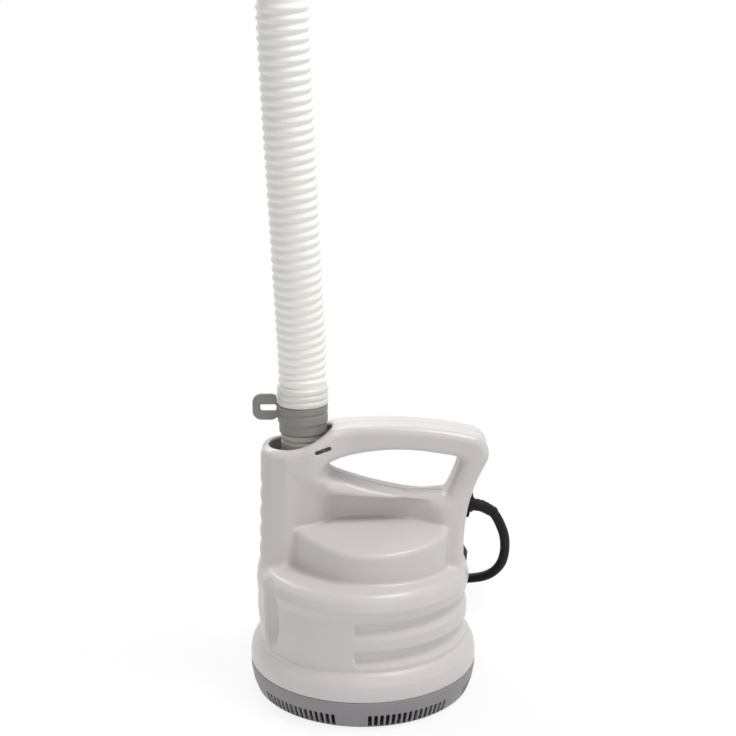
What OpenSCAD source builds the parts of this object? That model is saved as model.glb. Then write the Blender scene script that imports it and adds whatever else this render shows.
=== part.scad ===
// Pool drain pump that stands on its strainer base: a round drum with a raised motor
// dome, a riser column with an open top, a loop handle, and a ribbed drain hose.
// +X is the handle leg's side, -X the column's side, -Y the front, +Z up.
// The origin is the middle of the base, on the surface that the pump stands on.

/* [Housing] */
// Wall of the two housing halves
wall = 2.8; // [2.2:0.1:3.2]
// Outside radius of the drum
drum_r = 84.5; // [83:0.5:87]
// Outside radius of the flange over the base
flange_r = 92; // [90.5:0.5:96]
// Height of the shelf on top of the drum
shelf_z = 112; // [108:1:116]
// Height of the crease where the flange meets the drum
flange_z = 44; // [42:1:47]
// Depth of the two side grooves
groove_depth = 3.5; // [2:0.5:4.5]
// Height of each side groove
groove_h = 12.5; // [9:0.5:14]

/* [Motor dome] */
// Outside radius of the dome
dome_r = 66; // [62:1:68]
// Height of the dome at its front and back edges
dome_edge_z = 135; // [130:1:138]
// Height of the dome's ridge
dome_ridge_z = 144; // [141:1:148]
// Radius of the hollow scooped into each side of the web
scoop_r = 109; // [100:1:120]
// Half thickness of the web at the bottom of the scoops
web_half = 3; // [3:0.25:5]

/* [Column] */
// Width of the column along X
column_w = 56; // [54:1:60]
// Depth of the column along Y
column_d = 54; // [50:1:58]
// Height of the column's rim on its outer side
rim_low_z = 204; // [198:1:208]
// Rise of the rim from its outer side to the handle
rim_rise = 17; // [12:1:20]
// Width of the opening in the top
opening_w = 50; // [46:1:50]
// Depth of the opening in the top
opening_d = 42; // [40:1:44]
// Number of finger scallops down the column
scallops = 9; // [3:1:9]
// Pitch of the scallops
scallop_pitch = 15.4; // [12:0.2:15.6]

/* [Handle] */
// Height of the top of the handle
handle_top_z = 223; // [222:0.5:228]
// Depth of the handle along Y
handle_d = 38; // [34:1:42]
// Radius of the handle's outer corner
handle_corner_r = 16; // [13:1:18]
// Height of the top of the hand hole
hole_top_z = 203.8; // [202:0.2:205]
// Height of the bottom of the hand hole
hole_low_z = 165.5; // [163:0.5:168]

/* [Base] */
// Height of the strainer base
base_h = 24.5; // [22:0.5:28]
// Radius of the base at its lower edge
base_low_r = 86; // [84:0.5:89]
// Wall of the base
base_wall = 2.6; // [2:0.1:3]
// Groups of suction slots round the base
slot_groups = 5; // [3:1:5]
// Slots in each group
group_slots = 16; // [4:1:16]
// Width of one suction slot
slot_w = 2.7; // [1.5:0.1:3.2]
// Height of one suction slot
slot_h = 9; // [5:0.5:10]
// Height that the rubber feet stand below the base
foot_proud = 1.2; // [0.8:0.1:2]

/* [Outlet] */
// Outside radius of the riser pipe
pipe_r = 16; // [15:0.25:16.5]
// Wall of the riser pipe
pipe_wall = 2.6; // [2:0.1:3]
// Outside radius of the outlet collar
collar_r = 19.8; // [19:0.1:21]
// Height of the outlet collar
collar_h = 22.5; // [20:0.5:25]
// Radius of the neck that the collar turns on
neck_r = 15.5; // [15:0.1:16]
// Thickness of the collar's loop lug
lug_t = 5; // [3:0.5:7]

/* [Drain hose] */
// Outside radius of the hose over its ribs
hose_r = 19.3; // [18.5:0.1:20]
// Depth of the ribs
rib_depth = 2; // [1.2:0.1:2.4]
// Wall of the hose
hose_wall = 1; // [0.8:0.1:1.2]
// Pitch of the ribs
rib_pitch = 7.2; // [6.6:0.2:9]

/* [Motor and impeller] */
// Radius of the shaft
shaft_r = 4; // [3:0.25:4]
// Radius of the impeller
impeller_r = 30; // [26:0.5:31]
// Number of impeller blades
blades = 6; // [4:1:8]
// Radius of the stator core
stator_r = 34.6; // [33:0.2:34.8]
// Length of the stator core
stator_h = 30; // [20:1:32]
// Radius of the rotor
rotor_r = 18; // [14:0.5:19]

/* [Power cord] */
// Diameter of the power cord
cord_d = 8; // [7:0.1:8]
// Loops in the stored coil
coil_turns = 22; // [10:2:22]
// Radius of the middle of the coil's turns
coil_mid_r = 69.5; // [66:0.5:70]

/* [Hidden] */

$fn = 64;
// Clearance between pieces that slide or turn on each other
run_gap = 0.08;
// Clearance between pieces that only pass each other
fit_gap = 0.3;
// Overrun of every cut
over = 1;

// Places that the pieces share
seat_z = base_h;
drum_in_r = drum_r - wall;
flange_in_r = flange_r - wall;
column_x = -54.5;
column_x0 = column_x - column_w / 2;
column_x1 = column_x + column_w / 2;
column_corner_r = 19;
opening_x = -49.5;
opening_corner_r = 20;
pipe_x = -47.5;
motor_x = 8;
dome_x = 7.7;
scoop_x = 7;
half_split = 0.05;

// Drum outline, from the seat up to the shelf
flange_side_z = 31;
flange_edge_in = 1.4;
flange_foot_out = 1.5;
crease_h = 3.75;
flange_turn_z = flange_side_z + (flange_z - flange_side_z) * 0.4;
rim_z = 95;
rim_out = 1.6;
rim_flank_h = 9;
rim_top_in = 3;
rim_top_fall = 5;
rim_r = drum_r + rim_out;
shelf_r = 68;
function drum_outline() = [
    [0, seat_z], [flange_r, seat_z], [flange_r, flange_side_z], [flange_r - flange_edge_in, flange_turn_z],
    [drum_r + flange_foot_out, flange_z], [drum_r, flange_z + crease_h],
    [drum_r, rim_z - 4 * rim_out], [rim_r, rim_z], [drum_r, shelf_z - rim_flank_h],
    [drum_r - rim_top_in, shelf_z - rim_top_fall], [shelf_r, shelf_z], [0, shelf_z]];

// Side grooves, from a little left of the front middle, round the leg's side, to the back
groove_z = [56.7, 80.2];
groove_from_deg = -93.5;
groove_span_deg = 187;
groove_lip = 3;
module groove(z) {
    floor_r = drum_r - groove_depth;
    rotate([0, 0, groove_from_deg]) rotate_extrude(angle = groove_span_deg)
        polygon([[floor_r, z - groove_h / 2 + groove_lip], [rim_r + over, z - groove_h / 2 - over],
            [rim_r + over, z + groove_h / 2], [floor_r, z + groove_h / 2]]);
}

// Hollows in the drum beside the column
recess_r = 17;
recess_out = 1.5;
recess_side = 0.8;
recess_x = column_x0 - recess_out;
recess_y = column_d / 2 + recess_r + recess_side;
recess_low_z = 62;
recess_high_z = 90;
module recesses(g) {
    r = recess_r + g;
    for (side = [-1, 1]) translate([recess_x, side * recess_y, 0]) rotate_extrude() polygon(concat(
        [for (a = [-90 : 15 : 0]) [r * cos(a), recess_low_z + r * sin(a)]],
        [for (a = [0 : 15 : 90]) [r * cos(a), recess_high_z + r * sin(a)]]));
}

module drum() { rotate_extrude() polygon(drum_outline()); }

// Motor dome: a round platform whose roof falls to the front and to the back
module dome(g) {
    intersection() {
        translate([dome_x, 0, seat_z]) cylinder(r = dome_r - g, h = dome_ridge_z);
        translate([dome_x - dome_r, 0, 0]) rotate([90, 0, 90]) linear_extrude(2 * dome_r)
            polygon([[-dome_r, seat_z], [dome_r, seat_z], [dome_r, dome_edge_z - g],
                [0, dome_ridge_z - g], [-dome_r, dome_edge_z - g]]);
    }
}

module round_plan(x0, x1, half_y, r) {
    translate([x0 + r, -half_y]) square([x1 - x0 - 2 * r, 2 * half_y]);
    translate([x0, r - half_y]) square([x1 - x0, 2 * (half_y - r)]);
    for (x = [x0 + r, x1 - r], y = [r - half_y, half_y - r]) translate([x, y]) circle(r);
}

// Column, cut at the slanted rim
module column(g) {
    rim_z0 = rim_low_z - g;
    rim_z1 = rim_low_z + rim_rise - g;
    intersection() {
        translate([0, 0, seat_z]) linear_extrude(rim_z1)
            round_plan(column_x0 + g, column_x1 - g, column_d / 2 - g, column_corner_r - g);
        translate([0, column_d, 0]) rotate([90, 0, 0]) linear_extrude(2 * column_d)
            polygon([[column_x0 - over, 0], [column_x1 + over, 0], [column_x1 + over, rim_z1],
                [opening_x - opening_w / 4, rim_z0 + rim_rise * 0.15], [column_x0 - over, rim_z0]]);
    }
}

scallop_r = 6.5;
scallop_depth = 1.4;
scallop_top_z = 173.7;
module scallop_cuts() {
    for (i = [0 : scallops - 1])
        translate([column_x0 - scallop_r + scallop_depth, column_d, scallop_top_z - i * scallop_pitch])
            rotate([90, 0, 0]) cylinder(r = scallop_r, h = 2 * column_d);
}

// Where two circles meet; side picks one of the two places
function meet(c1, r1, c2, r2, side) =
    let (d = norm(c2 - c1), a = (r1 * r1 - r2 * r2 + d * d) / (2 * d), h = sqrt(r1 * r1 - a * a),
        u = (c2 - c1) / d)
    c1 + u * a + side * h * [-u[1], u[0]];
function heading(p) = atan2(p[1], p[0]);
function arc(c, r, a0, a1, n) =
    [for (i = [0 : n]) c + r * [cos(a0 + (a1 - a0) * i / n), sin(a0 + (a1 - a0) * i / n)]];

// Handle outline in X and Z: the top arc, the corner and the leg's hollow outer side
top_arc_r = 320;
top_arc_x = 17;
top_c = [top_arc_x, handle_top_z - top_arc_r];
corner_x = 83.5;
corner_c = [corner_x, top_c[1] + sqrt(pow(top_arc_r - handle_corner_r, 2) - pow(corner_x - top_arc_x, 2))];
leg_arc_r = 139;
leg_waist_z = 125;
leg_c = [corner_x + sqrt(pow(leg_arc_r + handle_corner_r, 2) - pow(corner_c[1] - leg_waist_z, 2)),
    leg_waist_z];
crown_low_z = 100;
crown_inset = 4;
crown_x0 = column_x + crown_inset;
crown_from_deg = 100;
corner_start = heading(corner_c - top_c);
corner_end = heading(leg_c - corner_c);
function crown_outline(g) = concat(
    [[crown_x0, crown_low_z]],
    [[crown_x0, top_c[1] + sqrt(pow(top_arc_r - g, 2) - pow(top_arc_x - crown_x0, 2))]],
    arc(top_c, top_arc_r - g, crown_from_deg, corner_start, 10),
    arc(corner_c, handle_corner_r - g, corner_start, corner_end, 10),
    arc(leg_c, leg_arc_r + g, 180 + corner_end, 180, 8),
    [[leg_c[0] - leg_arc_r - g, crown_low_z]]);

// Hand hole: the space inside three circles, with its corners rounded
hole_top_r = 166;
hole_top_c = [28, hole_top_z - hole_top_r];
hole_low_r = 235;
hole_low_c = [62, hole_low_z + hole_low_r];
hole_side_r = 150;
hole_side_at = [73.2, 183];
hole_side_deg = -20;
hole_side_c = hole_side_at - hole_side_r * [cos(hole_side_deg), sin(hole_side_deg)];
hole_left_r = 7;
hole_corner_r = 4.5;
hole_left = meet(hole_top_c, hole_top_r - hole_left_r, hole_low_c, hole_low_r - hole_left_r, 1);
hole_low = meet(hole_low_c, hole_low_r - hole_corner_r, hole_side_c, hole_side_r - hole_corner_r, 1);
hole_top = meet(hole_side_c, hole_side_r - hole_corner_r, hole_top_c, hole_top_r - hole_corner_r, 1);
function toward(c, p) = (heading(p - c) + 360) % 360;
function hole_outline(g) = concat(
    arc(hole_top_c, hole_top_r + g, toward(hole_top_c, hole_top), toward(hole_top_c, hole_left), 10),
    arc(hole_left, hole_left_r + g, toward(hole_top_c, hole_left), toward(hole_low_c, hole_left), 8),
    arc(hole_low_c, hole_low_r + g, toward(hole_low_c, hole_left), toward(hole_low_c, hole_low), 10),
    arc(hole_low, hole_corner_r + g, toward(hole_low_c, hole_low) - 360,
        toward(hole_side_c, hole_low) - 360, 6),
    arc(hole_side_c, hole_side_r + g, toward(hole_side_c, hole_low) - 360,
        toward(hole_side_c, hole_top) - 360, 6),
    arc(hole_top, hole_corner_r + g, toward(hole_side_c, hole_top) - 360, toward(hole_top_c, hole_top), 6));

module along_y(half_y) { translate([0, half_y, 0]) rotate([90, 0, 0]) linear_extrude(2 * half_y) children(); }

// Handle ring, leg and web; they spread below the hand hole
spread_z = 172;
leg_foot_d = 52;
module crown(g) {
    half_top = handle_d / 2 - g;
    half_low = leg_foot_d / 2 - g;
    intersection() {
        along_y(leg_foot_d) polygon(crown_outline(g));
        translate([crown_x0 - over, 0, 0]) rotate([90, 0, 90]) linear_extrude(corner_x + dome_r + column_w)
            polygon([[-half_low, crown_low_z - over], [half_low, crown_low_z - over],
                [half_low, shelf_z], [half_top, spread_z], [half_top, handle_top_z + over],
                [-half_top, handle_top_z + over], [-half_top, spread_z], [-half_low, shelf_z]]);
    }
}

// Scoops in the two sides of the web, below the lip of the hand hole
scoop_low_z = shelf_z;
scoop_lip = 4.5;
scoop_x0 = -44;
scoop_x1 = 71.5;
module scoops(g) {
    for (s = [-1, 1]) difference() {
        intersection() {
            translate([scoop_x, s * (scoop_r + web_half), scoop_low_z - g])
                cylinder(r = scoop_r + g, h = spread_z + over - scoop_low_z + g);
            translate([scoop_x0 - g, s > 0 ? 0 : -scoop_r, scoop_low_z - g])
                cube([scoop_x1 - scoop_x0 + 2 * g, scoop_r, handle_top_z]);
        }
        along_y(scoop_r + over) translate(hole_low_c) circle(hole_low_r + scoop_lip - g, $fn = 360);
        dome(g);
        column(g);
    }
}

module outer_body() {
    difference() {
        union() { drum(); column(0); crown(0); }
        scoops(0);
        along_y(handle_d) polygon(hole_outline(0));
        for (z = groove_z) groove(z);
        recesses(0);
        scallop_cuts();
    }
    dome(0);
}

// Deck plate seat: the cavity narrows above the plate
deck_t = 3;
deck_r = flange_in_r - fit_gap;
deck_top_z = seat_z + deck_t;
seat_ledge = 3;

// Room inside the drum: the drum's inner wall, stepped in behind the grooves
groove_thin = 0.4;
groove_back_r = drum_r - groove_depth - wall + groove_thin;
function groove_back(z) = [[drum_in_r, z - groove_h / 2 - wall], [groove_back_r, z - groove_h / 2],
    [groove_back_r, z + groove_h / 2], [drum_in_r, z + groove_h / 2 + wall]];
function room_outline() = concat(
    [[0, deck_top_z], [flange_in_r - seat_ledge, deck_top_z], [flange_in_r - seat_ledge, flange_side_z],
        [drum_in_r, flange_z]],
    groove_back(groove_z[0]), groove_back(groove_z[1]),
    [[drum_in_r, shelf_z - rim_flank_h - wall / 3],
        [drum_r - rim_top_in - wall, shelf_z - rim_top_fall - wall],
        [shelf_r - wall, shelf_z - wall], [0, shelf_z - wall]]);

module screw_bosses() {
    for (p = screw_places) translate([p[0], -drum_r, p[1]]) rotate([-90, 0, 0])
        cylinder(r = boss_r, h = 2 * drum_r);
}

module cavity() {
    difference() {
        union() {
            rotate_extrude() polygon(room_outline());
            translate([0, 0, seat_z - over]) cylinder(r = flange_in_r, h = deck_t + over);
            column(wall);
            dome(wall);
            difference() {
                crown(wall);
                along_y(handle_d) polygon(hole_outline(wall));
                scoops(wall);
            }
        }
        recesses(wall);
        screw_bosses();
    }
}

// Screws that join the halves, put in from the back
boss_r = 5;
screw_r = 1.75;
screw_head_r = 3.4;
screw_head_h = 2.4;
screw_len = 18;
screw_seat_y = 7;
screw_places = [[-73, 66], [-73, 178], [76, 92], [76, 52], [-18, 209], [54, 151], [88, 196]];

slot_x = -31;
slot_z = 205.5;
slot_len = 13;
slot_t = 3.6;
slot_tilt = 30;

module shell(side) {
    color([0.80, 0.79, 0.78]) difference() {
        outer_body();
        cavity();
        translate([0, side * (half_split - drum_r * 2), 0]) translate([0, 0, shelf_z])
            cube([4 * drum_r, 4 * drum_r, 4 * drum_r], center = true);
        // Opening in the top of the column
        translate([0, 0, rim_low_z - 4 * wall]) linear_extrude(handle_top_z)
            round_plan(opening_x - opening_w / 2, opening_x + opening_w / 2, opening_d / 2, opening_corner_r);
        // Small slot beside the rim
        if (side < 0) translate([slot_x, -column_d / 2, slot_z]) rotate([0, -slot_tilt, 0]) {
            cube([slot_len - slot_t, column_d / 2, slot_t], center = true);
            for (e = [-1, 1]) translate([e * (slot_len - slot_t) / 2, 0, 0]) rotate([90, 0, 0])
                cylinder(d = slot_t, h = column_d / 2, center = true);
        }
        // Screw bores in the front half, clearance and head recess in the back half
        for (p = screw_places) translate([p[0], 0, p[1]]) rotate([-90, 0, 0]) {
            translate([0, 0, -screw_len]) cylinder(r = screw_r + run_gap, h = 2 * screw_len);
            translate([0, 0, screw_seat_y]) cylinder(r = screw_head_r + fit_gap, h = drum_r);
        }
        // Cord gland hole in the leg
        translate(gland_at) rotate([0, 90 + gland_tilt, 0])
            cylinder(r = gland_sleeve_r + run_gap, h = 6 * wall, center = true);
    }
}
module front_shell() { shell(-1); }
module rear_shell() { shell(1); }

module shell_screws() {
    color([0.6, 0.6, 0.62]) for (p = screw_places) translate([p[0], 0, p[1]]) rotate([-90, 0, 0]) {
        translate([0, 0, screw_seat_y - screw_len]) cylinder(r = screw_r, h = screw_len);
        translate([0, 0, screw_seat_y]) difference() {
            cylinder(r = screw_head_r, h = screw_head_h);
            translate([0, 0, screw_head_h / 2]) cylinder(r = screw_r, h = screw_head_h, $fn = 6);
        }
    }
}

// Strainer base
base_top_r = flange_r;
base_low_z = foot_proud;
slot_low_z = 4;
slot_pitch_deg = 3.5;
slot_mid_deg = -6.5;
base_mid_in = 1.6;
base_foot_out = 1.8;
base_mid_z = base_h * 0.42;
module base_outline(g) {
    polygon([[0, base_low_z + g], [base_low_r - g, base_low_z + g],
        [base_low_r + base_foot_out - g, base_low_z + base_foot_out + g / 2],
        [base_top_r - base_mid_in - g, base_mid_z], [base_top_r - g, base_h * 0.8],
        [base_top_r - g, base_h + g / 2], [0, base_h + g / 2]]);
}
base_boss_r = 5;
base_screw_ring_r = 72;
base_screws_n = 5;
base_head_sink = 0.4;
module base_screw_places() {
    for (i = [0 : base_screws_n - 1]) rotate([0, 0, foot_deg(i + 0.5)])
        translate([base_screw_ring_r, 0, 0]) children();
}
module base_strainer() {
    color([0.49, 0.49, 0.5]) difference() {
        union() {
            rotate_extrude() difference() {
                base_outline(0);
                base_outline(base_wall);
            }
            base_screw_places() translate([0, 0, base_low_z])
                cylinder(r = base_boss_r, h = base_h - base_low_z);
        }
        for (g = [0 : slot_groups - 1], i = [0 : group_slots - 1])
            rotate([0, 0, -90 + slot_mid_deg + (g + 0.5) * 360 / slot_groups
                + (i - (group_slots - 1) / 2) * slot_pitch_deg])
                translate([base_low_r - 3 * base_wall, -slot_w / 2, slot_low_z])
                    cube([6 * base_wall, slot_w, slot_h]);
        base_screw_places() {
            cylinder(r = screw_r + fit_gap, h = base_h + over);
            translate([0, 0, base_low_z - over])
                cylinder(r = screw_head_r + fit_gap, h = screw_head_h + over + base_head_sink);
        }
        foot_places() translate([0, 0, base_low_z - over])
            cylinder(r = foot_r + run_gap, h = over + foot_sink);
    }
}

feet = 5;
foot_r = 7;
foot_ring_r = 72;
foot_sink = 1.2;
foot_taper = 1;
function foot_deg(i) = i * 360 / feet - 90;
module foot_places() {
    children();
    for (i = [0 : feet - 1]) rotate([0, 0, foot_deg(i)]) translate([foot_ring_r, 0, 0]) children();
}
module rubber_feet() {
    color([0.15, 0.15, 0.16]) foot_places() {
        cylinder(r1 = foot_r - foot_taper, r2 = foot_r, h = foot_proud / 2);
        translate([0, 0, foot_proud / 2]) cylinder(r = foot_r, h = foot_proud / 2 + foot_sink);
    }
}

module base_screws() {
    color([0.6, 0.6, 0.62]) base_screw_places() translate([0, 0, base_low_z + base_head_sink]) difference() {
        union() {
            cylinder(r = screw_head_r, h = screw_head_h);
            cylinder(r = screw_r, h = deck_top_z - base_low_z - base_head_sink);
        }
        translate([0, 0, -over]) cylinder(r = screw_r, h = screw_head_h / 2 + over, $fn = 6);
    }
}

// Deck plate that closes the drum and carries the pump
eye_r = 11;
eye_wall = 5;
deck_hole_r = eye_r + eye_wall;
module deck_plate() {
    color([0.35, 0.35, 0.37]) difference() {
        translate([0, 0, seat_z]) cylinder(r = deck_r, h = deck_t);
        translate([motor_x, 0, 0]) cylinder(r = deck_hole_r, h = shelf_z);
        base_screw_places() cylinder(r = screw_r + run_gap, h = shelf_z);
        casing_screw_places() cylinder(r = screw_r + run_gap, h = shelf_z);
    }
}
module casing_screw_places() {
    for (i = [0.5 : casing_screws]) translate([motor_x, 0, 0]) rotate([0, 0, i * 360 / casing_screws])
        translate([casing_screw_ring_r, 0, 0]) children();
}

// Volute: a cover with the suction eye, and a casing with the outlet duct
cover_t = 2.5;
casing_r = 38;
casing_wall = 3;
casing_z = deck_top_z + cover_t;
casing_h = 20;
casing_top_z = casing_z + casing_h;
casing_flange_r = 44;
casing_flange_t = 3;
casing_screw_ring_r = 41;
casing_screws = 6;
duct_r = 9.8;
duct_z = casing_z + casing_h / 2;
module suction_cover() {
    color([0.3, 0.3, 0.32]) difference() {
        union() {
            translate([motor_x, 0, deck_top_z]) cylinder(r = casing_flange_r, h = cover_t);
            translate([motor_x, 0, deck_top_z - deck_t]) cylinder(r = deck_hole_r - fit_gap, h = deck_t);
        }
        translate([motor_x, 0, 0]) cylinder(r = eye_r, h = shelf_z);
        casing_screw_places() cylinder(r = screw_r + run_gap, h = shelf_z);
        pipe_foot_clear();
    }
}
module pipe_foot_clear() {
    translate([pipe_x, 0, deck_top_z - over]) cylinder(r = pipe_r + fit_gap, h = shelf_z);
}

casing_roof = 4;
chamber_h = casing_h - casing_roof;
seal_r = 9;
module volute_casing() {
    color([0.3, 0.3, 0.32]) difference() {
        union() {
            translate([motor_x, 0, casing_z]) cylinder(r = casing_r, h = casing_h);
            translate([motor_x, 0, casing_z]) cylinder(r = casing_flange_r, h = casing_flange_t);
            translate([motor_x, 0, duct_z]) rotate([0, -90, 0]) cylinder(r = duct_r, h = motor_x - duct_tip_x);
        }
        translate([motor_x, 0, casing_z - over]) cylinder(r = casing_r - casing_wall, h = chamber_h + over);
        translate([motor_x, 0, casing_z]) cylinder(r = seal_r + run_gap, h = casing_h + over);
        translate([motor_x, 0, duct_z]) rotate([0, -90, 0])
            cylinder(r = duct_r - casing_wall, h = motor_x - duct_tip_x + over);
        casing_screw_places() cylinder(r = screw_r + run_gap, h = shelf_z);
        difference() {
            pipe_foot_clear();
            translate([motor_x, 0, duct_z]) rotate([0, -90, 0]) cylinder(r = duct_r, h = 3 * casing_r);
        }
    }
}
duct_tip_x = pipe_x + pipe_r - pipe_wall + fit_gap;

deck_head_r = 2.9;
module deck_screws() {
    color([0.6, 0.6, 0.62]) casing_screw_places() {
        translate([0, 0, seat_z + deck_t / 2])
            cylinder(r = screw_r, h = casing_z + casing_flange_t - seat_z - deck_t / 2);
        translate([0, 0, casing_z + casing_flange_t]) cylinder(r = deck_head_r, h = screw_head_h);
    }
}

// Turning parts
shaft_low_z = casing_z + eye_wall / 2;
shaft_high_z = 113;
blade_h = 9;
blade_t = 2;
impeller_z = casing_z + cover_t;
hub_over = 3;
blade_r_share = 0.6;
blade_place_shares = [0.27, -0.6];
blade_r = impeller_r * blade_r_share;
blade_c = impeller_r * blade_place_shares;
blade_from_deg = 100;
blade_to_deg = 20;
module impeller() {
    color([0.15, 0.35, 0.6]) translate([motor_x, 0, impeller_z]) difference() {
        union() {
            cylinder(r = 2 * shaft_r, h = blade_h + hub_over);
            translate([0, 0, blade_h]) cylinder(r = impeller_r, h = blade_t);
            for (i = [0 : blades - 1]) rotate([0, 0, i * 360 / blades]) linear_extrude(blade_h + blade_t / 2)
                polygon(concat(arc(blade_c, blade_r, blade_from_deg, blade_to_deg, 8),
                    arc(blade_c, blade_r - blade_t, blade_to_deg, blade_from_deg, 8)));
        }
        translate([0, 0, shaft_low_z - impeller_z]) cylinder(r = shaft_r, h = shaft_high_z);
    }
}
module shaft() {
    color([0.75, 0.75, 0.77]) translate([motor_x, 0, shaft_low_z])
        cylinder(r = shaft_r, h = shaft_high_z - shaft_low_z);
}
stator_z = 68;
rotor_end_ring = 3;
module rotor() {
    color([0.55, 0.55, 0.58]) translate([motor_x, 0, 0]) difference() {
        union() {
            translate([0, 0, stator_z]) cylinder(r = rotor_r, h = stator_h);
            translate([0, 0, stator_z - rotor_end_ring])
                cylinder(r = rotor_r * 0.85, h = stator_h + 2 * rotor_end_ring);
        }
        cylinder(r = shaft_r, h = shaft_high_z + over);
    }
}
seal_proud = 0.5;
seal_lip = 1.5;
module shaft_seal() {
    color([0.1, 0.1, 0.1]) translate([motor_x, 0, casing_z + chamber_h - seal_proud]) difference() {
        cylinder(r = seal_r, h = casing_roof + seal_proud);
        translate([0, 0, -over]) cylinder(r = shaft_r + run_gap, h = casing_h);
        translate([0, 0, -over]) cylinder(r = shaft_r + seal_lip, h = over + seal_lip);
    }
}

// Motor
bearing_r = 11;
bearing_h = 7;
bearing_seat = 2.5;
bearing_ring = 2;
bearing_wall = 3;
shaft_clear = 2;
bracket_t = 3;
lower_bearing_z = casing_top_z + bearing_seat;
upper_bearing_z = shaft_high_z - bearing_h;
can_r = 37.4;
can_wall = 2.5;
can_in_r = can_r - can_wall;
can_top_z = shaft_high_z + bracket_t + can_wall;
module bearing(z) {
    translate([motor_x, 0, z]) {
        difference() {
            cylinder(r = bearing_r, h = bearing_h);
            translate([0, 0, -over]) cylinder(r = bearing_r - bearing_ring, h = bearing_h + 2 * over);
        }
        translate([0, 0, bearing_ring / 4]) difference() {
            cylinder(r = bearing_r - bearing_ring, h = bearing_h - bearing_ring / 2);
            translate([0, 0, -over]) cylinder(r = shaft_r + run_gap, h = bearing_h + 2 * over);
        }
    }
}
module lower_bearing() { color([0.8, 0.8, 0.82]) bearing(lower_bearing_z); }
module upper_bearing() { color([0.8, 0.8, 0.82]) bearing(upper_bearing_z); }
module lower_bracket() {
    color([0.65, 0.65, 0.67]) translate([motor_x, 0, casing_top_z]) difference() {
        union() {
            cylinder(r = can_in_r - run_gap, h = bearing_seat);
            cylinder(r = bearing_r + bearing_wall, h = bearing_seat + bearing_h);
        }
        translate([0, 0, bearing_seat]) cylinder(r = bearing_r + run_gap, h = bearing_h + over);
        translate([0, 0, -over]) cylinder(r = shaft_r + shaft_clear, h = bearing_h);
    }
}
module upper_bracket() {
    color([0.65, 0.65, 0.67]) translate([motor_x, 0, upper_bearing_z]) difference() {
        union() {
            translate([0, 0, bearing_h]) cylinder(r = can_in_r - run_gap, h = bracket_t);
            cylinder(r = bearing_r + bearing_wall, h = bearing_h + bracket_t);
        }
        translate([0, 0, -over]) cylinder(r = bearing_r + run_gap, h = bearing_h + over);
        translate([0, 0, bearing_h - over]) cylinder(r = shaft_r + shaft_clear, h = over + bracket_t / 2);
    }
}
can_flange_r = casing_r;
module motor_can() {
    color([0.2, 0.2, 0.22]) translate([motor_x, 0, casing_top_z]) difference() {
        union() {
            cylinder(r = can_r, h = can_top_z - casing_top_z);
            cylinder(r = can_flange_r, h = can_wall);
            for (a = [45 : 90 : 315]) rotate([0, 0, a]) translate([can_r - can_wall / 2, 0, can_wall])
                cylinder(r = can_wall, h = can_top_z - casing_top_z - 2 * can_wall);
        }
        translate([0, 0, -over]) cylinder(r = can_in_r, h = shaft_high_z + bracket_t - casing_top_z + over);
        // Lead hole
        rotate([0, 0, lead_deg]) translate([0, 0, lead_hole_z - casing_top_z]) rotate([0, 90, 0])
            cylinder(r = 3.6 * lead_r, h = 2 * can_r);
    }
}
winding_h = 6.5;
winding_in = 2;
winding_side = 3;
stator_slots = 12;
slot_r = 3;
air_gap = 0.4;
winding_in_r = rotor_r + winding_in;
winding_out_r = stator_r - winding_side;
module stator_core() {
    color([0.45, 0.46, 0.48]) translate([motor_x, 0, stator_z]) difference() {
        cylinder(r = stator_r, h = stator_h);
        translate([0, 0, -over]) cylinder(r = rotor_r + air_gap, h = stator_h + 2 * over);
        for (i = [0 : stator_slots - 1]) rotate([0, 0, i * 360 / stator_slots])
            translate([(winding_in_r + winding_out_r) / 2, 0, -over])
            cylinder(r = slot_r, h = stator_h + 2 * over);
    }
}
module stator_windings() {
    color([0.72, 0.38, 0.18]) translate([motor_x, 0, 0]) {
        for (z = [stator_z - winding_h / 2 - run_gap, stator_z + stator_h + winding_h / 2 + run_gap])
            translate([0, 0, z]) rotate_extrude()
                round_plan(winding_in_r, winding_out_r, winding_h / 2, winding_h / 3);
        for (i = [0 : stator_slots - 1]) rotate([0, 0, i * 360 / stator_slots])
            translate([(winding_in_r + winding_out_r) / 2, 0, stator_z - winding_h / 2])
                cylinder(r = slot_r - run_gap, h = stator_h + winding_h);
    }
}

// Electrical parts on the deck
capacitor_h = 48;
capacitor_rim = [1.5, 4];
capacitor_side = 3.5;
capacitor_deg = 103;
capacitor_r = (drum_in_r - casing_flange_r) / 3;
capacitor_out = drum_in_r - capacitor_r - capacitor_rim[0] - capacitor_side;
capacitor_at = capacitor_out * [cos(capacitor_deg), sin(capacitor_deg)];
capacitor_tab = [1, 6, 7];
capacitor_tabs = 10;
module capacitor() {
    color([0.85, 0.85, 0.87]) translate([capacitor_at[0], capacitor_at[1], deck_top_z]) {
        cylinder(r = capacitor_r, h = capacitor_h);
        cylinder(r = capacitor_r + capacitor_rim[0], h = capacitor_rim[1]);
        for (x = [-1, 1] * capacitor_tabs / 2)
            translate([x - capacitor_tab[0] / 2, -capacitor_tab[1] / 2, capacitor_h]) cube(capacitor_tab);
    }
}
block_at = [56, -30];
block_size = [14, 24, 15];
block_ways = 3;
block_hole = [2.2, 3];
block_bite = 4;
block_way_z = 10.5;
function block_way(i) = i * block_size[1] / block_ways;
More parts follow.
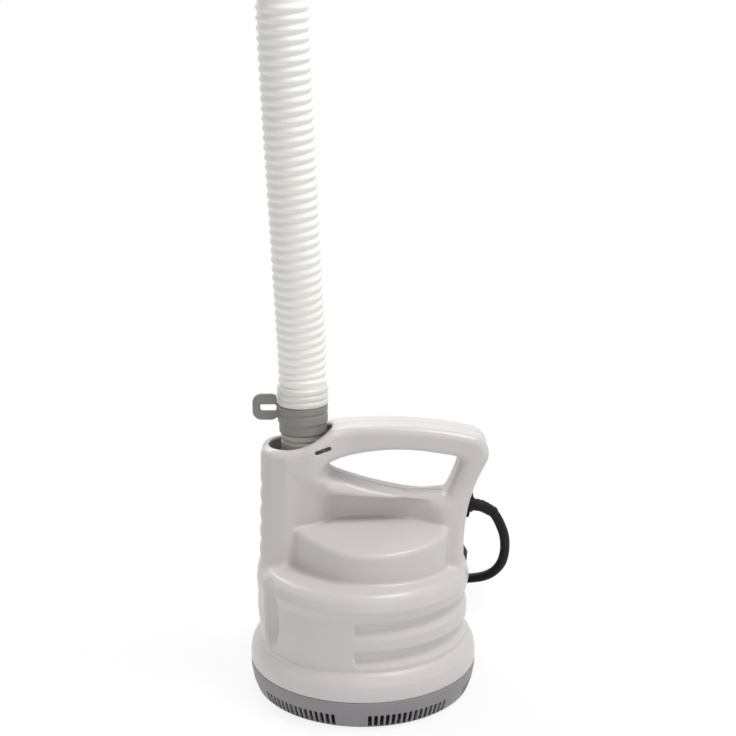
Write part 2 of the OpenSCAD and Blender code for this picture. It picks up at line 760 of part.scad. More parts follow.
module terminal_block() {
    color([0.9, 0.9, 0.88]) translate([block_at[0], block_at[1], deck_top_z]) difference() {
        translate([-block_size[0] / 2, -block_size[1] / 2, 0]) cube(block_size);
        for (i = [-1 : 1]) translate([0, block_way(i), block_size[2] - block_hole[1]])
            cylinder(r = block_hole[0], h = block_hole[1] + over);
        for (i = [-1 : 1]) translate([-block_size[0] / 2 - over, block_way(i), block_way_z])
            rotate([0, 90, 0]) cylinder(r = lead_r + run_gap, h = block_bite + over);
    }
}

// Outlet: riser pipe, stub with its turning collar, and the hose's own cuff
collar_z = 214.5;
collar_top_z = collar_z + collar_h;
stub_r = 17.6;
stub_z = 190;
neck_out = 13;
socket_deep = 8;
neck_top_z = collar_top_z + neck_out;
pipe_top_z = stub_z + socket_deep;
socket_r = 14;
module riser_pipe() {
    bore = pipe_r - pipe_wall;
    color([0.86, 0.87, 0.87]) difference() {
        union() {
            translate([pipe_x, 0, deck_top_z]) cylinder(r = pipe_r, h = pipe_top_z - deck_top_z);
            intersection() {
                translate([pipe_x, 0, duct_z]) rotate([0, 90, 0]) cylinder(r = socket_r, h = pipe_r + over);
                translate([pipe_x, 0, deck_top_z + over]) cylinder(r = 2 * pipe_r, h = casing_h + cover_t);
            }
        }
        translate([pipe_x, 0, deck_top_z + pipe_wall]) cylinder(r = bore, h = pipe_top_z);
        translate([pipe_x, 0, duct_z]) rotate([0, 90, 0]) cylinder(r = duct_r + run_gap, h = 2 * pipe_r);
        translate([motor_x, 0, deck_top_z]) cylinder(r = casing_r + fit_gap, h = casing_h + 2 * cover_t);
        translate([motor_x, 0, deck_top_z - over])
            cylinder(r = casing_flange_r + fit_gap, h = casing_flange_t + cover_t + over + fit_gap);
    }
}
module outlet_stub() {
    color([0.82, 0.83, 0.82]) translate([pipe_x, 0, 0]) difference() {
        union() {
            translate([0, 0, stub_z]) cylinder(r = stub_r, h = collar_z - fit_gap - stub_z);
            translate([0, 0, stub_z]) cylinder(r = neck_r, h = neck_top_z - stub_z);
        }
        translate([0, 0, stub_z - over]) cylinder(r = pipe_r + run_gap, h = pipe_top_z - stub_z + over);
        translate([0, 0, stub_z]) cylinder(r = neck_r - pipe_wall, h = neck_top_z);
        translate([0, 0, seal_z]) ring_cut(neck_r, seal_t);
    }
}
seal_t = 1.5;
seal_above = 5;
seal_z = collar_top_z + seal_above;
module ring_cut(r, t) { rotate_extrude() translate([r, 0]) circle(t); }
module hose_seal() {
    color([0.1, 0.1, 0.1]) translate([pipe_x, 0, seal_z]) ring_cut(neck_r, seal_t - run_gap);
}

lug_out = 20;
lug_z0 = 224;
lug_z1 = 245;
lug_slot = [13, 5.4];
collar_groove_down = 5.5;
collar_groove_r = 0.9;
lug_root = 3;
lug_corner_r = 8;
lug_gap = 1;
lug_slot_down = 0.5;
module lug_plan() {
    difference() {
        union() {
            translate([lug_corner_r, lug_z0]) square([lug_out + lug_root - lug_corner_r, collar_top_z - lug_z0]);
            translate([0, lug_z0 + lug_corner_r]) square([lug_out - lug_gap, lug_z1 - lug_z0 - 2 * lug_corner_r]);
            translate([lug_corner_r, lug_z0 + lug_corner_r])
                square([lug_out - lug_gap - lug_corner_r, lug_z1 - lug_z0 - lug_corner_r]);
            for (z = [lug_z0 + lug_corner_r, lug_z1 - lug_corner_r])
                translate([lug_corner_r, z]) circle(lug_corner_r);
        }
        translate([lug_out - lug_slot[0] - lug_gap, (lug_z0 + lug_z1 - lug_slot[1]) / 2 - lug_slot_down])
            square(lug_slot);
    }
}
module outlet_collar() {
    color([0.5, 0.51, 0.5]) translate([pipe_x, 0, 0]) difference() {
        union() {
            translate([0, 0, collar_z]) cylinder(r = collar_r, h = collar_h);
            translate([-collar_r - lug_out, lug_t / 2, 0]) rotate([90, 0, 0])
                linear_extrude(lug_t) lug_plan();
        }
        translate([0, 0, collar_z - over]) cylinder(r = neck_r + run_gap, h = collar_h + 2 * over);
        translate([0, 0, collar_top_z - collar_groove_down]) ring_cut(collar_r, collar_groove_r);
    }
}

cuff_z = collar_top_z + fit_gap;
cuff_h = 15.5;
cuff_in = 0.4;
cuff_ribs = 3;
cuff_rib_r = 0.9;
cuff_rib_pitch = 5;
cuff_top_z = cuff_z + cuff_h;
module hose_cuff() {
    color([0.75, 0.78, 0.79]) translate([pipe_x, 0, 0]) difference() {
        union() {
            translate([0, 0, cuff_z]) cylinder(r = collar_r - cuff_in, h = cuff_h);
            for (i = [0.5 : cuff_ribs]) translate([0, 0, cuff_z + i * cuff_rib_pitch])
                ring_cut(collar_r - 2 * cuff_in, cuff_rib_r);
        }
        translate([0, 0, cuff_z - over]) cylinder(r = neck_r + run_gap, h = cuff_h + 2 * over);
        translate([0, 0, seal_z]) ring_cut(neck_r, seal_t);
    }
}

// Smooth curve through chosen points, and a tube swept along it
function curve_at(p, i, t) =
    let (a = p[max(i - 1, 0)], b = p[i], c = p[i + 1], d = p[min(i + 2, len(p) - 1)])
    0.5 * (2 * b + (c - a) * t + (2 * a - 5 * b + 4 * c - d) * t * t + (3 * b - a - 3 * c + d) * t * t * t);
function curve(p, n) = [for (i = [0 : len(p) - 2], k = [0 : n - 1]) curve_at(p, i, k / n), p[len(p) - 1]];
function unit(v) = v / norm(v);
function tangents(p) = [for (i = [0 : len(p) - 1]) unit(p[min(i + 1, len(p) - 1)] - p[max(i - 1, 0)])];
function side_of(t, s) = unit(s - (s * t) * t);
function sides(t, i, s) = i >= len(t) ? [] : let (v = side_of(t[i], s)) concat([v], sides(t, i + 1, v));
function ring(c, t, s, r, n) =
    [for (k = [0 : n - 1]) c + r * (cos(k * 360 / n) * s + sin(k * 360 / n) * cross(t, s))];
function band(a, b, n) =
    [for (k = [0 : n - 1]) let (k2 = (k + 1) % n) each [[a + k, b + k2, a + k2], [a + k, b + k, b + k2]]];
function run_length(p) = [for (i = [1 : len(p) - 1]) norm(p[i] - p[i - 1])] * [for (i = [1 : len(p) - 1]) 1];
module tube(p, radii, n, first_side) {
    t = tangents(p);
    s = sides(t, 0, first_side);
    m = len(p);
    points = [for (i = [0 : m - 1]) each ring(p[i], t[i], s[i], radii[min(i, len(radii) - 1)], n)];
    faces = concat(
        [for (k = [1 : n - 2]) [0, k, k + 1]],
        [for (i = [0 : m - 2]) each band(i * n, (i + 1) * n, n)],
        [for (k = [1 : n - 2]) [(m - 1) * n, (m - 1) * n + k + 1, (m - 1) * n + k]]);
    polyhedron(points, faces);
}

// Ribbed drain hose, held up by what it drains into
hose_route = [[-47.5, 0, 252], [-47.5, 0, 268], [-48.5, -6, 305], [-50, -13.5, 345], [-52, -21.5, 400],
    [-54.5, -30, 460], [-56.3, -37.5, 512], [-57, -42, 546], [-57, -43, 560], [-57, -43, 574]];
hose_line = curve(hose_route, 10);
function reach(p, i) = i == 0 ? [0] : let (q = reach(p, i - 1)) concat(q, [q[i - 1] + norm(p[i] - p[i - 1])]);
hose_reach = reach(hose_line, len(hose_line) - 1);
hose_len = hose_reach[len(hose_reach) - 1];
function place(s, i) = i >= len(hose_line) - 2 || hose_reach[i + 1] >= s
    ? hose_line[i] + (hose_line[i + 1] - hose_line[i]) * (s - hose_reach[i])
        / (hose_reach[i + 1] - hose_reach[i])
    : place(s, i + 1);
ribs = floor((hose_len - 2 * hose_r) / rib_pitch);
rib_start = (hose_len - ribs * rib_pitch) / 2;
rib_steps = concat([0],
    [for (i = [0 : ribs - 1]) each [rib_start + i * rib_pitch, rib_start + (i + 0.5) * rib_pitch]],
    [rib_start + ribs * rib_pitch, hose_len]);
rib_radii = concat([hose_r - rib_depth], [for (i = [0 : ribs - 1]) each [hose_r - rib_depth, hose_r]],
    [hose_r - rib_depth, hose_r - rib_depth]);
hose_bore = hose_r - rib_depth - hose_wall;
module drain_hose() {
    color([0.94, 0.93, 0.91]) difference() {
        tube([for (s = rib_steps) place(s, 0)], rib_radii, 8, [1, 0, 0]);
        tube(concat([hose_route[0] - [0, 0, over]], [for (i = [1 : 11]) place(hose_len * i / 12, 0)],
            [fitting_at + [0, 0, over]]), [hose_bore], 8, [1, 0, 0]);
    }
}

fitting_at = hose_route[len(hose_route) - 1];
fitting_r = 21;
fitting_h = 24;
fitting_bore_r = 15;
fitting_band = 1.5;
module hose_end_fitting() {
    color([0.5, 0.51, 0.5]) translate(fitting_at) difference() {
        union() {
            cylinder(r = fitting_r, h = fitting_h);
            translate([0, 0, fitting_h / 3]) cylinder(r = fitting_r + fitting_band, h = fitting_h / 3);
        }
        translate([0, 0, -over]) cylinder(r = fitting_bore_r, h = fitting_h + 2 * over);
    }
}

// Power cord: gland in the leg, lead inside, free stretch, stored coil, tail and plug
gland_z = 153.5;
gland_tilt = asin((gland_z - leg_waist_z) / leg_arc_r);
gland_at = [leg_c[0] - leg_arc_r * cos(gland_tilt), 0, gland_z];
gland_sleeve_r = 6;
gland_plate = [3, 15, 19];
gland_neck = 3;
gland_off = pow(gland_plate[2] / 2, 2) / (2 * leg_arc_r) + 2 * run_gap;
gland_in = 3 * wall;
cord_r = cord_d / 2;
module cord_gland() {
    color([0.09, 0.08, 0.08]) {
        translate(gland_at) rotate([0, 90 + gland_tilt, 0]) difference() {
            union() {
                translate([-gland_plate[2] / 2, -gland_plate[1] / 2, gland_off])
                    cube([gland_plate[2], gland_plate[1], gland_plate[0]]);
                translate([0, 0, -gland_in])
                    cylinder(r = gland_sleeve_r, h = gland_in + gland_plate[0] + gland_neck);
            }
            translate([0, 0, -gland_in - over]) cylinder(r = cord_r, h = gland_in + gland_plate[0]);
        }
        tube(curve(boot_route, 3), [for (i = [0 : 6]) cord_r * (1.35 - 0.3 * i / 6)], 12, [0, 1, 0]);
    }
}
boot_route = [[88, 0, 152.7], [96, 0.3, 151.2], [105, 2.5, 145.5]];
cord_route = [
    [105, 2.5, 145.5], [109, 5, 139], [112.5, 8.5, 131], [115.5, 12.5, 122], [117, 17, 112],
    [117, 21, 102], [115, 26, 91.5], [110, 31, 82.5], [102.5, 36, 76], [93, 41, 72],
    [83, 48, 68.5], [74, 57, 63.5], [66, 67, 56.5], [58.5, 77, 47.5], [51, 87, 36.5],
    [43, 95.5, 25], [34, 102, 14.5], [23, 106, 7], [12, 107.1, 5.8], [5, 107.2, 5.8]];
module power_cord() { color([0.09, 0.08, 0.08]) tube(curve(cord_route, 2), [cord_r], 8, [0, 1, 0]); }

coil_gap = 0.7;
coil_step = cord_d + coil_gap;
coil_layers = 4;
layer_turns = coil_turns / coil_layers;
coil_out_r = coil_mid_r + layer_turns * coil_step / 2;
coil_in_r = coil_mid_r - layer_turns * coil_step / 2;
tie_t = 1.2;
floor_gap = 0.6;
coil_low_z = cord_r + tie_t + floor_gap;
coil_front = cord_route[len(cord_route) - 1];
coil_c = [coil_front[0], coil_front[1] + coil_out_r];
loop_rings = 24;
next_turn_rings = 18;
// Radius and height of the coil after u turns: in, out, in, out, climbing where it turns back
function coil_layer(u) = min(floor(u / layer_turns), coil_layers - 1);
function coil_share(u) = u / layer_turns - coil_layer(u);
function coil_r(u) = coil_layer(u) % 2 == 0
    ? coil_out_r - coil_share(u) * (coil_out_r - coil_in_r)
    : coil_in_r + coil_share(u) * (coil_out_r - coil_in_r);
function climb(u) = let (k = round(u / layer_turns), e = u - k * layer_turns)
    k >= 1 && k <= coil_layers - 1 && abs(e) < 0.25 ? k - 0.5 + 2 * e : coil_layer(u);
function coil_point(u) = [coil_c[0] + coil_r(u) * sin(-360 * u), coil_c[1] - coil_r(u) * cos(360 * u),
    coil_low_z + coil_step * climb(u)];
coil_points = [for (i = [0 : coil_turns * loop_rings]) coil_point(i / loop_rings)];
module cord_coil() {
    color([0.09, 0.08, 0.08]) tube(coil_points, [cord_r], 6, [0, 0, 1]);
}
// Least gap between one turn and the next ones, measured on the points
coil_gaps = [for (i = [0 : 2 : len(coil_points) - 1], j = [i + next_turn_rings : len(coil_points) - 1])
    norm(coil_points[i] - coil_points[j]) - cord_d];
echo(coil_least_gap = min(coil_gaps), coil_length = run_length(coil_points), hose_length = hose_len,
    ribs = ribs, cord_length = run_length(curve(cord_route, 2)));

coil_top_z = coil_low_z + (coil_layers - 1) * coil_step + cord_r;
plug_r = 17;
plug_len = 34;
rest_gap = 0.4;
plug_z = coil_top_z + plug_r + rest_gap;
tail_z = coil_top_z + cord_r + rest_gap;
// Each stop: degrees past the end of the coil, how far in from its outer turn, and height over the lying tail
tail_stops = [[0, 0, coil_low_z + (coil_layers - 1) * coil_step - tail_z], [9, 0, -7.6], [20, 0, -4.4],
    [32, 0, 0], [46, 4, 0], [62, 13, 0], [78, 22, 2], [92, 25, 7], [105, 25.5, plug_z - tail_z - 1.5],
    [115, 24, plug_z - tail_z]];
function on_coil(a, r, z) = [coil_c[0] - r * sin(a), coil_c[1] - r * cos(a), z];
tail_route = [for (t = tail_stops) on_coil(t[0], coil_out_r - t[1], tail_z + t[2])];
module cord_tail() { color([0.09, 0.08, 0.08]) tube(curve(tail_route, 3), [cord_r], 8, [0, 0, 1]); }

plug_at = tail_route[len(tail_route) - 1];
plug_turn = heading(plug_at - tail_route[len(tail_route) - 2]);
pin_r = 2.4;
pin_len = 19;
pin_pitch = 19;
pin_deep = 6;
plug_neck = [2, 3.5];
module mains_plug() {
    color([0.1, 0.1, 0.1]) translate(plug_at) rotate([0, 0, plug_turn]) rotate([0, 90, 0]) difference() {
        union() {
            cylinder(r1 = cord_r + plug_neck[0], r2 = cord_r + plug_neck[1], h = plug_len * 0.45);
            translate([0, 0, plug_len * 0.3])
                cylinder(r1 = cord_r + plug_neck[1], r2 = plug_r * 0.85, h = plug_len * 0.35);
            translate([0, 0, plug_len * 0.6]) cylinder(r = plug_r, h = plug_len * 0.4);
        }
        for (s = [-1, 1]) translate([0, s * pin_pitch / 2, plug_len - pin_deep])
            cylinder(r = pin_r, h = pin_deep + over);
    }
}
module plug_pins() {
    color([0.78, 0.78, 0.8]) translate(plug_at) rotate([0, 0, plug_turn]) rotate([0, 90, 0])
        for (s = [-1, 1]) translate([0, s * pin_pitch / 2, plug_len - pin_deep]) {
            cylinder(r = pin_r, h = pin_len + pin_deep - pin_r);
            translate([0, 0, pin_len + pin_deep - pin_r]) sphere(r = pin_r);
        }
}

tie_w = 14;
tie_play = 0.6;
tie_low_z = 0.2;
tie_deg = 60;
module cord_tie() {
    half_w = (coil_out_r - coil_in_r) / 2 + cord_r + tie_play;
    color([0.12, 0.12, 0.13]) translate([coil_c[0], coil_c[1], 0]) rotate([0, 0, tie_deg])
        translate([coil_mid_r, tie_w / 2, 0]) rotate([90, 0, 0]) linear_extrude(tie_w) difference() {
            translate([-half_w - tie_t, tie_low_z]) square([2 * (half_w + tie_t), coil_top_z + 2 * tie_t]);
            translate([-half_w, tie_low_z + tie_t]) square([2 * half_w, coil_top_z]);
        }
}

// Lead inside the leg, its clamp, and the leads to the motor
block_top = [block_at[0], block_at[1], deck_top_z + block_size[2]];
inner_r = cord_r * 0.9;
inner_route = [
    gland_at - (gland_in + rest_gap) * [cos(gland_tilt), 0, -sin(gland_tilt)], [70, 0, 153.5],
    [66.5, 0, 147], [66, 0, 136], [66, 0, 120], [65.5, -4, 104], [63, -13, 86], [59, -22, 68],
    [56.5, -28, 54], block_top];
module inner_lead() { color([0.12, 0.12, 0.13]) tube(curve(inner_route, 2), [inner_r], 8, [0, 1, 0]); }

clamp_at = [66, 0, 128];
clamp_wall = 2.6;
clamp_size = 8;
module cord_clamp() {
    color([0.2, 0.2, 0.22]) translate(clamp_at) difference() {
        union() {
            cylinder(r = cord_r + clamp_wall, h = clamp_size);
            translate([0, -clamp_size / 2, 0])
                cube([leg_c[0] - leg_arc_r - wall - clamp_at[0] - fit_gap, clamp_size, clamp_size]);
        }
        translate([0, 0, -over]) cylinder(r = inner_r + fit_gap, h = clamp_size + 2 * over);
    }
}
lead_r = 1.3;
lead_deg = -36;
lead_hole_z = 60;
lead_pitch = 3;
lead_low_z = 49;
function at_can(out, side, z) =
    [motor_x + (can_r + out) * cos(lead_deg), (can_r + out) * sin(lead_deg) + side, z];
module motor_leads() {
    from_x = block_at[0] - block_size[0] / 2;
    from_z = deck_top_z + block_way_z;
    color([0.75, 0.2, 0.15]) for (i = [-1 : 1]) tube(curve([
        [from_x + lead_pitch, block_at[1] + block_way(i), from_z],
        [from_x - lead_pitch, block_at[1] + block_way(i), from_z],
        at_can(2 * lead_pitch, i * lead_pitch, lead_low_z),
        at_can(lead_pitch, i * lead_pitch, lead_hole_z - lead_pitch),
        at_can(-can_wall / 2, i * lead_pitch * 0.9, lead_hole_z)], 3), [lead_r], 8, [0, 0, 1]);
}

front_shell();
rear_shell();
shell_screws();
base_strainer();
base_screws();
rubber_feet();
deck_plate();
deck_screws();
suction_cover();
volute_casing();
impeller();
shaft_seal();
motor_can();
lower_bracket();
upper_bracket();
lower_bearing();
upper_bearing();
stator_core();
stator_windings();
rotor();
shaft();
capacitor();
terminal_block();
riser_pipe();
outlet_stub();
outlet_collar();
hose_seal();
hose_cuff();
drain_hose();
hose_end_fitting();
cord_gland();
cord_clamp();
inner_lead();
motor_leads();
power_cord();
cord_coil();
cord_tail();
cord_tie();
mains_plug();
plug_pins();
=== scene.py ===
import math

import bpy
import numpy as np
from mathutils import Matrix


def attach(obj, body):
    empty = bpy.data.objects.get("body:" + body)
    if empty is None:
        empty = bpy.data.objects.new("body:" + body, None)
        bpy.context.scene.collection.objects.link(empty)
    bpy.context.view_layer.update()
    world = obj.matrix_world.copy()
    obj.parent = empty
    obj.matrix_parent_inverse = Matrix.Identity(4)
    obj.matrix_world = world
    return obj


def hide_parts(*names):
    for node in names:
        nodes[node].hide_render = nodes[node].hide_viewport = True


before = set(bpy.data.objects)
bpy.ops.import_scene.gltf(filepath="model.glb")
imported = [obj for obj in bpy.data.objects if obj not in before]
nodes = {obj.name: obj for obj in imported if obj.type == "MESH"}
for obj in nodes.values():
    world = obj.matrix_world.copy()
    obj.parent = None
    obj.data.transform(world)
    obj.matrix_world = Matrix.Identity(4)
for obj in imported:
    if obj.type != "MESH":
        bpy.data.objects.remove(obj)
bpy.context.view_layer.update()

# Lengths are in millimetres and pass through MM on their way into the scene.
MM = 0.001


# Camera

IMAGE_PX = 736
FOCAL_PX = 1400
CAMERA_AT = (4.1, -1067, 536)
CAMERA_DOWN_DEG = 14.2


def make_camera():
    data = bpy.data.cameras.new("camera")
    data.sensor_width = 36
    data.lens = data.sensor_width * FOCAL_PX / IMAGE_PX
    data.clip_start = 0.01
    camera = bpy.data.objects.new("camera", data)
    camera.location = [v * MM for v in CAMERA_AT]
    camera.rotation_euler = (math.radians(90 - CAMERA_DOWN_DEG), 0, 0)
    bpy.context.collection.objects.link(camera)
    bpy.context.scene.camera = camera


make_camera()


# Curves through chosen points, as the model draws them

def smooth_line(points, steps):
    """Smooth curve through chosen points, with so many steps between two of them."""
    p = np.array(points, float)
    out = []
    for i in range(len(p) - 1):
        a, b, c, d = p[max(i - 1, 0)], p[i], p[i + 1], p[min(i + 2, len(p) - 1)]
        for k in range(steps):
            t = k / steps
            out.append(0.5 * (2 * b + (c - a) * t + (2 * a - 5 * b + 4 * c - d) * t ** 2
                              + (3 * b - a - 3 * c + d) * t ** 3))
    out.append(p[-1])
    return np.array(out)


def run_length(line):
    return float(np.linalg.norm(np.diff(line, axis=0), axis=1).sum())


def even_line(line, count):
    """The same line, cut at so many evenly spaced points."""
    reach = np.concatenate([[0], np.cumsum(np.linalg.norm(np.diff(line, axis=0), axis=1))])
    at = np.linspace(0, reach[-1], count)
    return np.stack([np.interp(at, reach, line[:, k]) for k in range(3)], 1)


def link(obj):
    bpy.context.collection.objects.link(obj)
    return obj


def mesh_piece(name, points_mm, faces):
    mesh = bpy.data.meshes.new(name)
    mesh.from_pydata((np.asarray(points_mm) * MM).tolist(), [], faces)
    mesh.validate()
    mesh.shade_smooth()
    obj = link(bpy.data.objects.new(name, mesh))
    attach(obj, "housing")
    return obj


# Power cord: free stretch, stored coil and tail in one run

CORD_D = 8
BEVEL_STEPS = 4
LINE_STEPS = 5
CORD_ROUTE = [
    (105, 2.5, 145.5), (109, 5, 139), (112.5, 8.5, 131), (115.5, 12.5, 122), (117, 17, 112), (117, 21, 102),
    (115, 26, 91.5), (110, 31, 82.5), (102.5, 36, 76), (93, 41, 72), (83, 48, 68.5), (74, 57, 63.5),
    (66, 67, 56.5), (58.5, 77, 47.5), (51, 87, 36.5), (43, 95.5, 25), (34, 102, 14.5), (23, 106, 7),
    (12, 107.1, 5.8), (5, 107.2, 5.8)]
COIL_TURNS = 22
COIL_LAYERS = 4
COIL_STEP = 8.7
COIL_MID_R = 69.5
LAYER_TURNS = COIL_TURNS / COIL_LAYERS
COIL_OUT_R = COIL_MID_R + LAYER_TURNS * COIL_STEP / 2
COIL_IN_R = COIL_MID_R - LAYER_TURNS * COIL_STEP / 2
COIL_C = (CORD_ROUTE[-1][0], CORD_ROUTE[-1][1] + COIL_OUT_R)
COIL_LOW_Z = CORD_ROUTE[-1][2]
COIL_TOP_Z = COIL_LOW_Z + (COIL_LAYERS - 1) * COIL_STEP + CORD_D / 2
LOOP_POINTS = 24
CLIMB_TURNS = 0.5
PLUG_R = 17
REST_GAP = 0.4
PLUG_Z = COIL_TOP_Z + PLUG_R + REST_GAP
TAIL_Z = COIL_TOP_Z + CORD_D / 2 + REST_GAP
TAIL_STOPS = [
    (0, 0, COIL_LOW_Z + (COIL_LAYERS - 1) * COIL_STEP), (9, 0, TAIL_Z - 7.6), (20, 0, TAIL_Z - 4.4),
    (32, 0, TAIL_Z), (46, 4, TAIL_Z), (62, 13, TAIL_Z), (78, 22, TAIL_Z + 2), (92, 25, TAIL_Z + 7),
    (105, 25.5, PLUG_Z - 1.5), (115, 24, PLUG_Z)]


def round_coil(r, angle, z):
    """A point of the coil; the angle runs from the side that faces the pump."""
    return (COIL_C[0] - r * math.sin(angle), COIL_C[1] - r * math.cos(angle), z)


def coil_point(u):
    """The coil after u turns. Its layers run inward and outward by turns."""
    layer = min(int(u // LAYER_TURNS), COIL_LAYERS - 1)
    share = u / LAYER_TURNS - layer
    span = COIL_OUT_R - COIL_IN_R
    r = COIL_OUT_R - share * span if layer % 2 == 0 else COIL_IN_R + share * span
    turn = round(u / LAYER_TURNS)
    off = u - turn * LAYER_TURNS
    climbing = 1 <= turn < COIL_LAYERS and abs(off) < CLIMB_TURNS / 2
    height = turn - 0.5 + off / CLIMB_TURNS if climbing else layer
    return round_coil(r, 2 * math.pi * u, COIL_LOW_Z + COIL_STEP * height)


def tail_point(stop):
    """The cord's last stretch: degrees round the coil, distance in from its rim, and height."""
    degrees, inset, z = stop
    return round_coil(COIL_OUT_R - inset, math.radians(degrees), z)


def curve_piece(name, line, diameter):
    """A round cord. The points' radius carries its size, because a curve's box grows by that radius."""
    data = bpy.data.curves.new(name, "CURVE")
    data.dimensions = "3D"
    data.bevel_depth = 1
    data.bevel_resolution = BEVEL_STEPS
    data.use_fill_caps = True
    spline = data.splines.new("POLY")
    spline.points.add(len(line) - 1)
    spline.points.foreach_set("co", np.hstack([np.asarray(line) * MM, np.ones((len(line), 1))]).ravel())
    spline.points.foreach_set("radius", np.full(len(line), diameter / 2 * MM))
    obj = link(bpy.data.objects.new(name, data))
    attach(obj, "housing")
    return obj


def make_cord():
    coil = [coil_point(i / LOOP_POINTS) for i in range(1, COIL_TURNS * LOOP_POINTS)]
    tail = smooth_line([tail_point(s) for s in TAIL_STOPS], LINE_STEPS)
    line = np.vstack([smooth_line(CORD_ROUTE, LINE_STEPS), coil, tail])
    cord = curve_piece("cord", line, CORD_D)
    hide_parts("power_cord", "cord_coil", "cord_tail")
    return cord


cord = make_cord()


# Drain hose

HOSE_ROUTE = [
    (-47.5, 0, 252), (-47.5, 0, 268), (-48.5, -6, 305), (-50, -13.5, 345), (-52, -21.5, 400),
    (-54.5, -30, 460), (-56.3, -37.5, 512), (-57, -42, 546), (-57, -43, 560), (-57, -43, 574)]
HOSE_R = 19.3
RIB_DEPTH = 1.4
RIB_PITCH = 7.2
RIB_FULLNESS = 0.8
RIBS_FROM = 1.2
FITTING_H = 24
HOSE_WALL = 1
HOSE_SIDES = 64
RIB_STEPS = 10
ROUTE_STEPS = 20


def tangents_of(line):
    t = np.gradient(line, axis=0)
    return t / np.linalg.norm(t, axis=1, keepdims=True)


def sweep(line, radii, sides):
    """Points and faces of an open tube of changing radius."""
    t = tangents_of(line)
    side = np.array([1.0, 0, 0])
    points = []
    angles = np.arange(sides) * 2 * np.pi / sides
    for p, d, r in zip(line, t, radii):
        side = side - side.dot(d) * d
        side /= np.linalg.norm(side)
        up = np.cross(d, side)
        points.append(p + r * (np.cos(angles)[:, None] * side + np.sin(angles)[:, None] * up))
    faces = []
    for i in range(len(line) - 1):
        for k in range(sides):
            k2 = (k + 1) % sides
            faces.append((i * sides + k, i * sides + k2, (i + 1) * sides + k2, (i + 1) * sides + k))
    return np.vstack(points), faces


def make_hose():
    line = smooth_line(HOSE_ROUTE, ROUTE_STEPS)
    length = run_length(line)
    ribs = int((length - FITTING_H - RIBS_FROM) // RIB_PITCH)
    count = int(length / RIB_PITCH * RIB_STEPS)
    line = even_line(line, count)
    phase = (np.linspace(0, length, count) - RIBS_FROM) / RIB_PITCH
    ribbed = (phase > 0) & (phase < ribs)
    wave = 0.5 - 0.5 * np.cos(2 * np.pi * phase)
    outside = HOSE_R - RIB_DEPTH + RIB_DEPTH * np.where(ribbed, wave ** RIB_FULLNESS, 0)
    inside = outside - HOSE_WALL
    out_points, out_faces = sweep(line, outside, HOSE_SIDES)
    in_points, in_faces = sweep(line, inside, HOSE_SIDES)
    shift = len(out_points)
    faces = out_faces + [tuple(shift + k for k in reversed(f)) for f in in_faces]
    last = (count - 1) * HOSE_SIDES
    for k in range(HOSE_SIDES):
        k2 = (k + 1) % HOSE_SIDES
        faces.append((k2, k, shift + k, shift + k2))
        faces.append((last + k, last + k2, shift + last + k2, shift + last + k))
    hose = mesh_piece("hose", np.vstack([out_points, in_points]), faces)
    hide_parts("drain_hose")
    return hose


hose = make_hose()


# Smooth solids: a distance field sampled on a grid, turned into a closed mesh.
# A field is negative inside its form.

BLOCK = 8
BLOCK_BATCH = 4096
REACH_SPARE = 1.35
SETTLE_ROUNDS = 3
SETTLE_PROBE = 0.05
SETTLE_LEAST_SLOPE = 0.25
SETTLE_MOST_STEP = 0.7


def smin(a, b, k):
    """Union of two fields with a fillet of about k."""
    h = np.maximum(k - np.abs(a - b), 0) / k
    return np.minimum(a, b) - h * h * k / 4


def smax(a, b, k):
    """Intersection of two fields with a round of about k."""
    return -smin(-a, -b, k)


def arc_points(centre, r, a0, a1, n):
    a = np.radians(np.linspace(a0, a1, n))
    return np.stack([centre[0] + r * np.cos(a), centre[1] + r * np.sin(a)], 1)


def round_corners(points, radii, steps=8):
    """A closed outline with each corner turned into an arc of its own radius."""
    p = np.array(points, float)
    out = []
    for i, r in enumerate(radii):
        a, b, c = p[i - 1], p[i], p[(i + 1) % len(p)]
        if r <= 0:
            out.append(b)
            continue
        u = (a - b) / np.linalg.norm(a - b)
        v = (c - b) / np.linalg.norm(c - b)
        half = math.acos(max(-1, min(1, float(u.dot(v))))) / 2
        cut = r / math.tan(half)
        centre = b + (u + v) / np.linalg.norm(u + v) * r / math.sin(half)
        s, e = b + u * cut - centre, b + v * cut - centre
        a0, a1 = math.atan2(s[1], s[0]), math.atan2(e[1], e[0])
        turn = (a1 - a0 + math.pi) % (2 * math.pi) - math.pi
        for k in range(steps + 1):
            angle = a0 + turn * k / steps
            out.append(centre + r * np.array([math.cos(angle), math.sin(angle)]))
    return np.array(out)


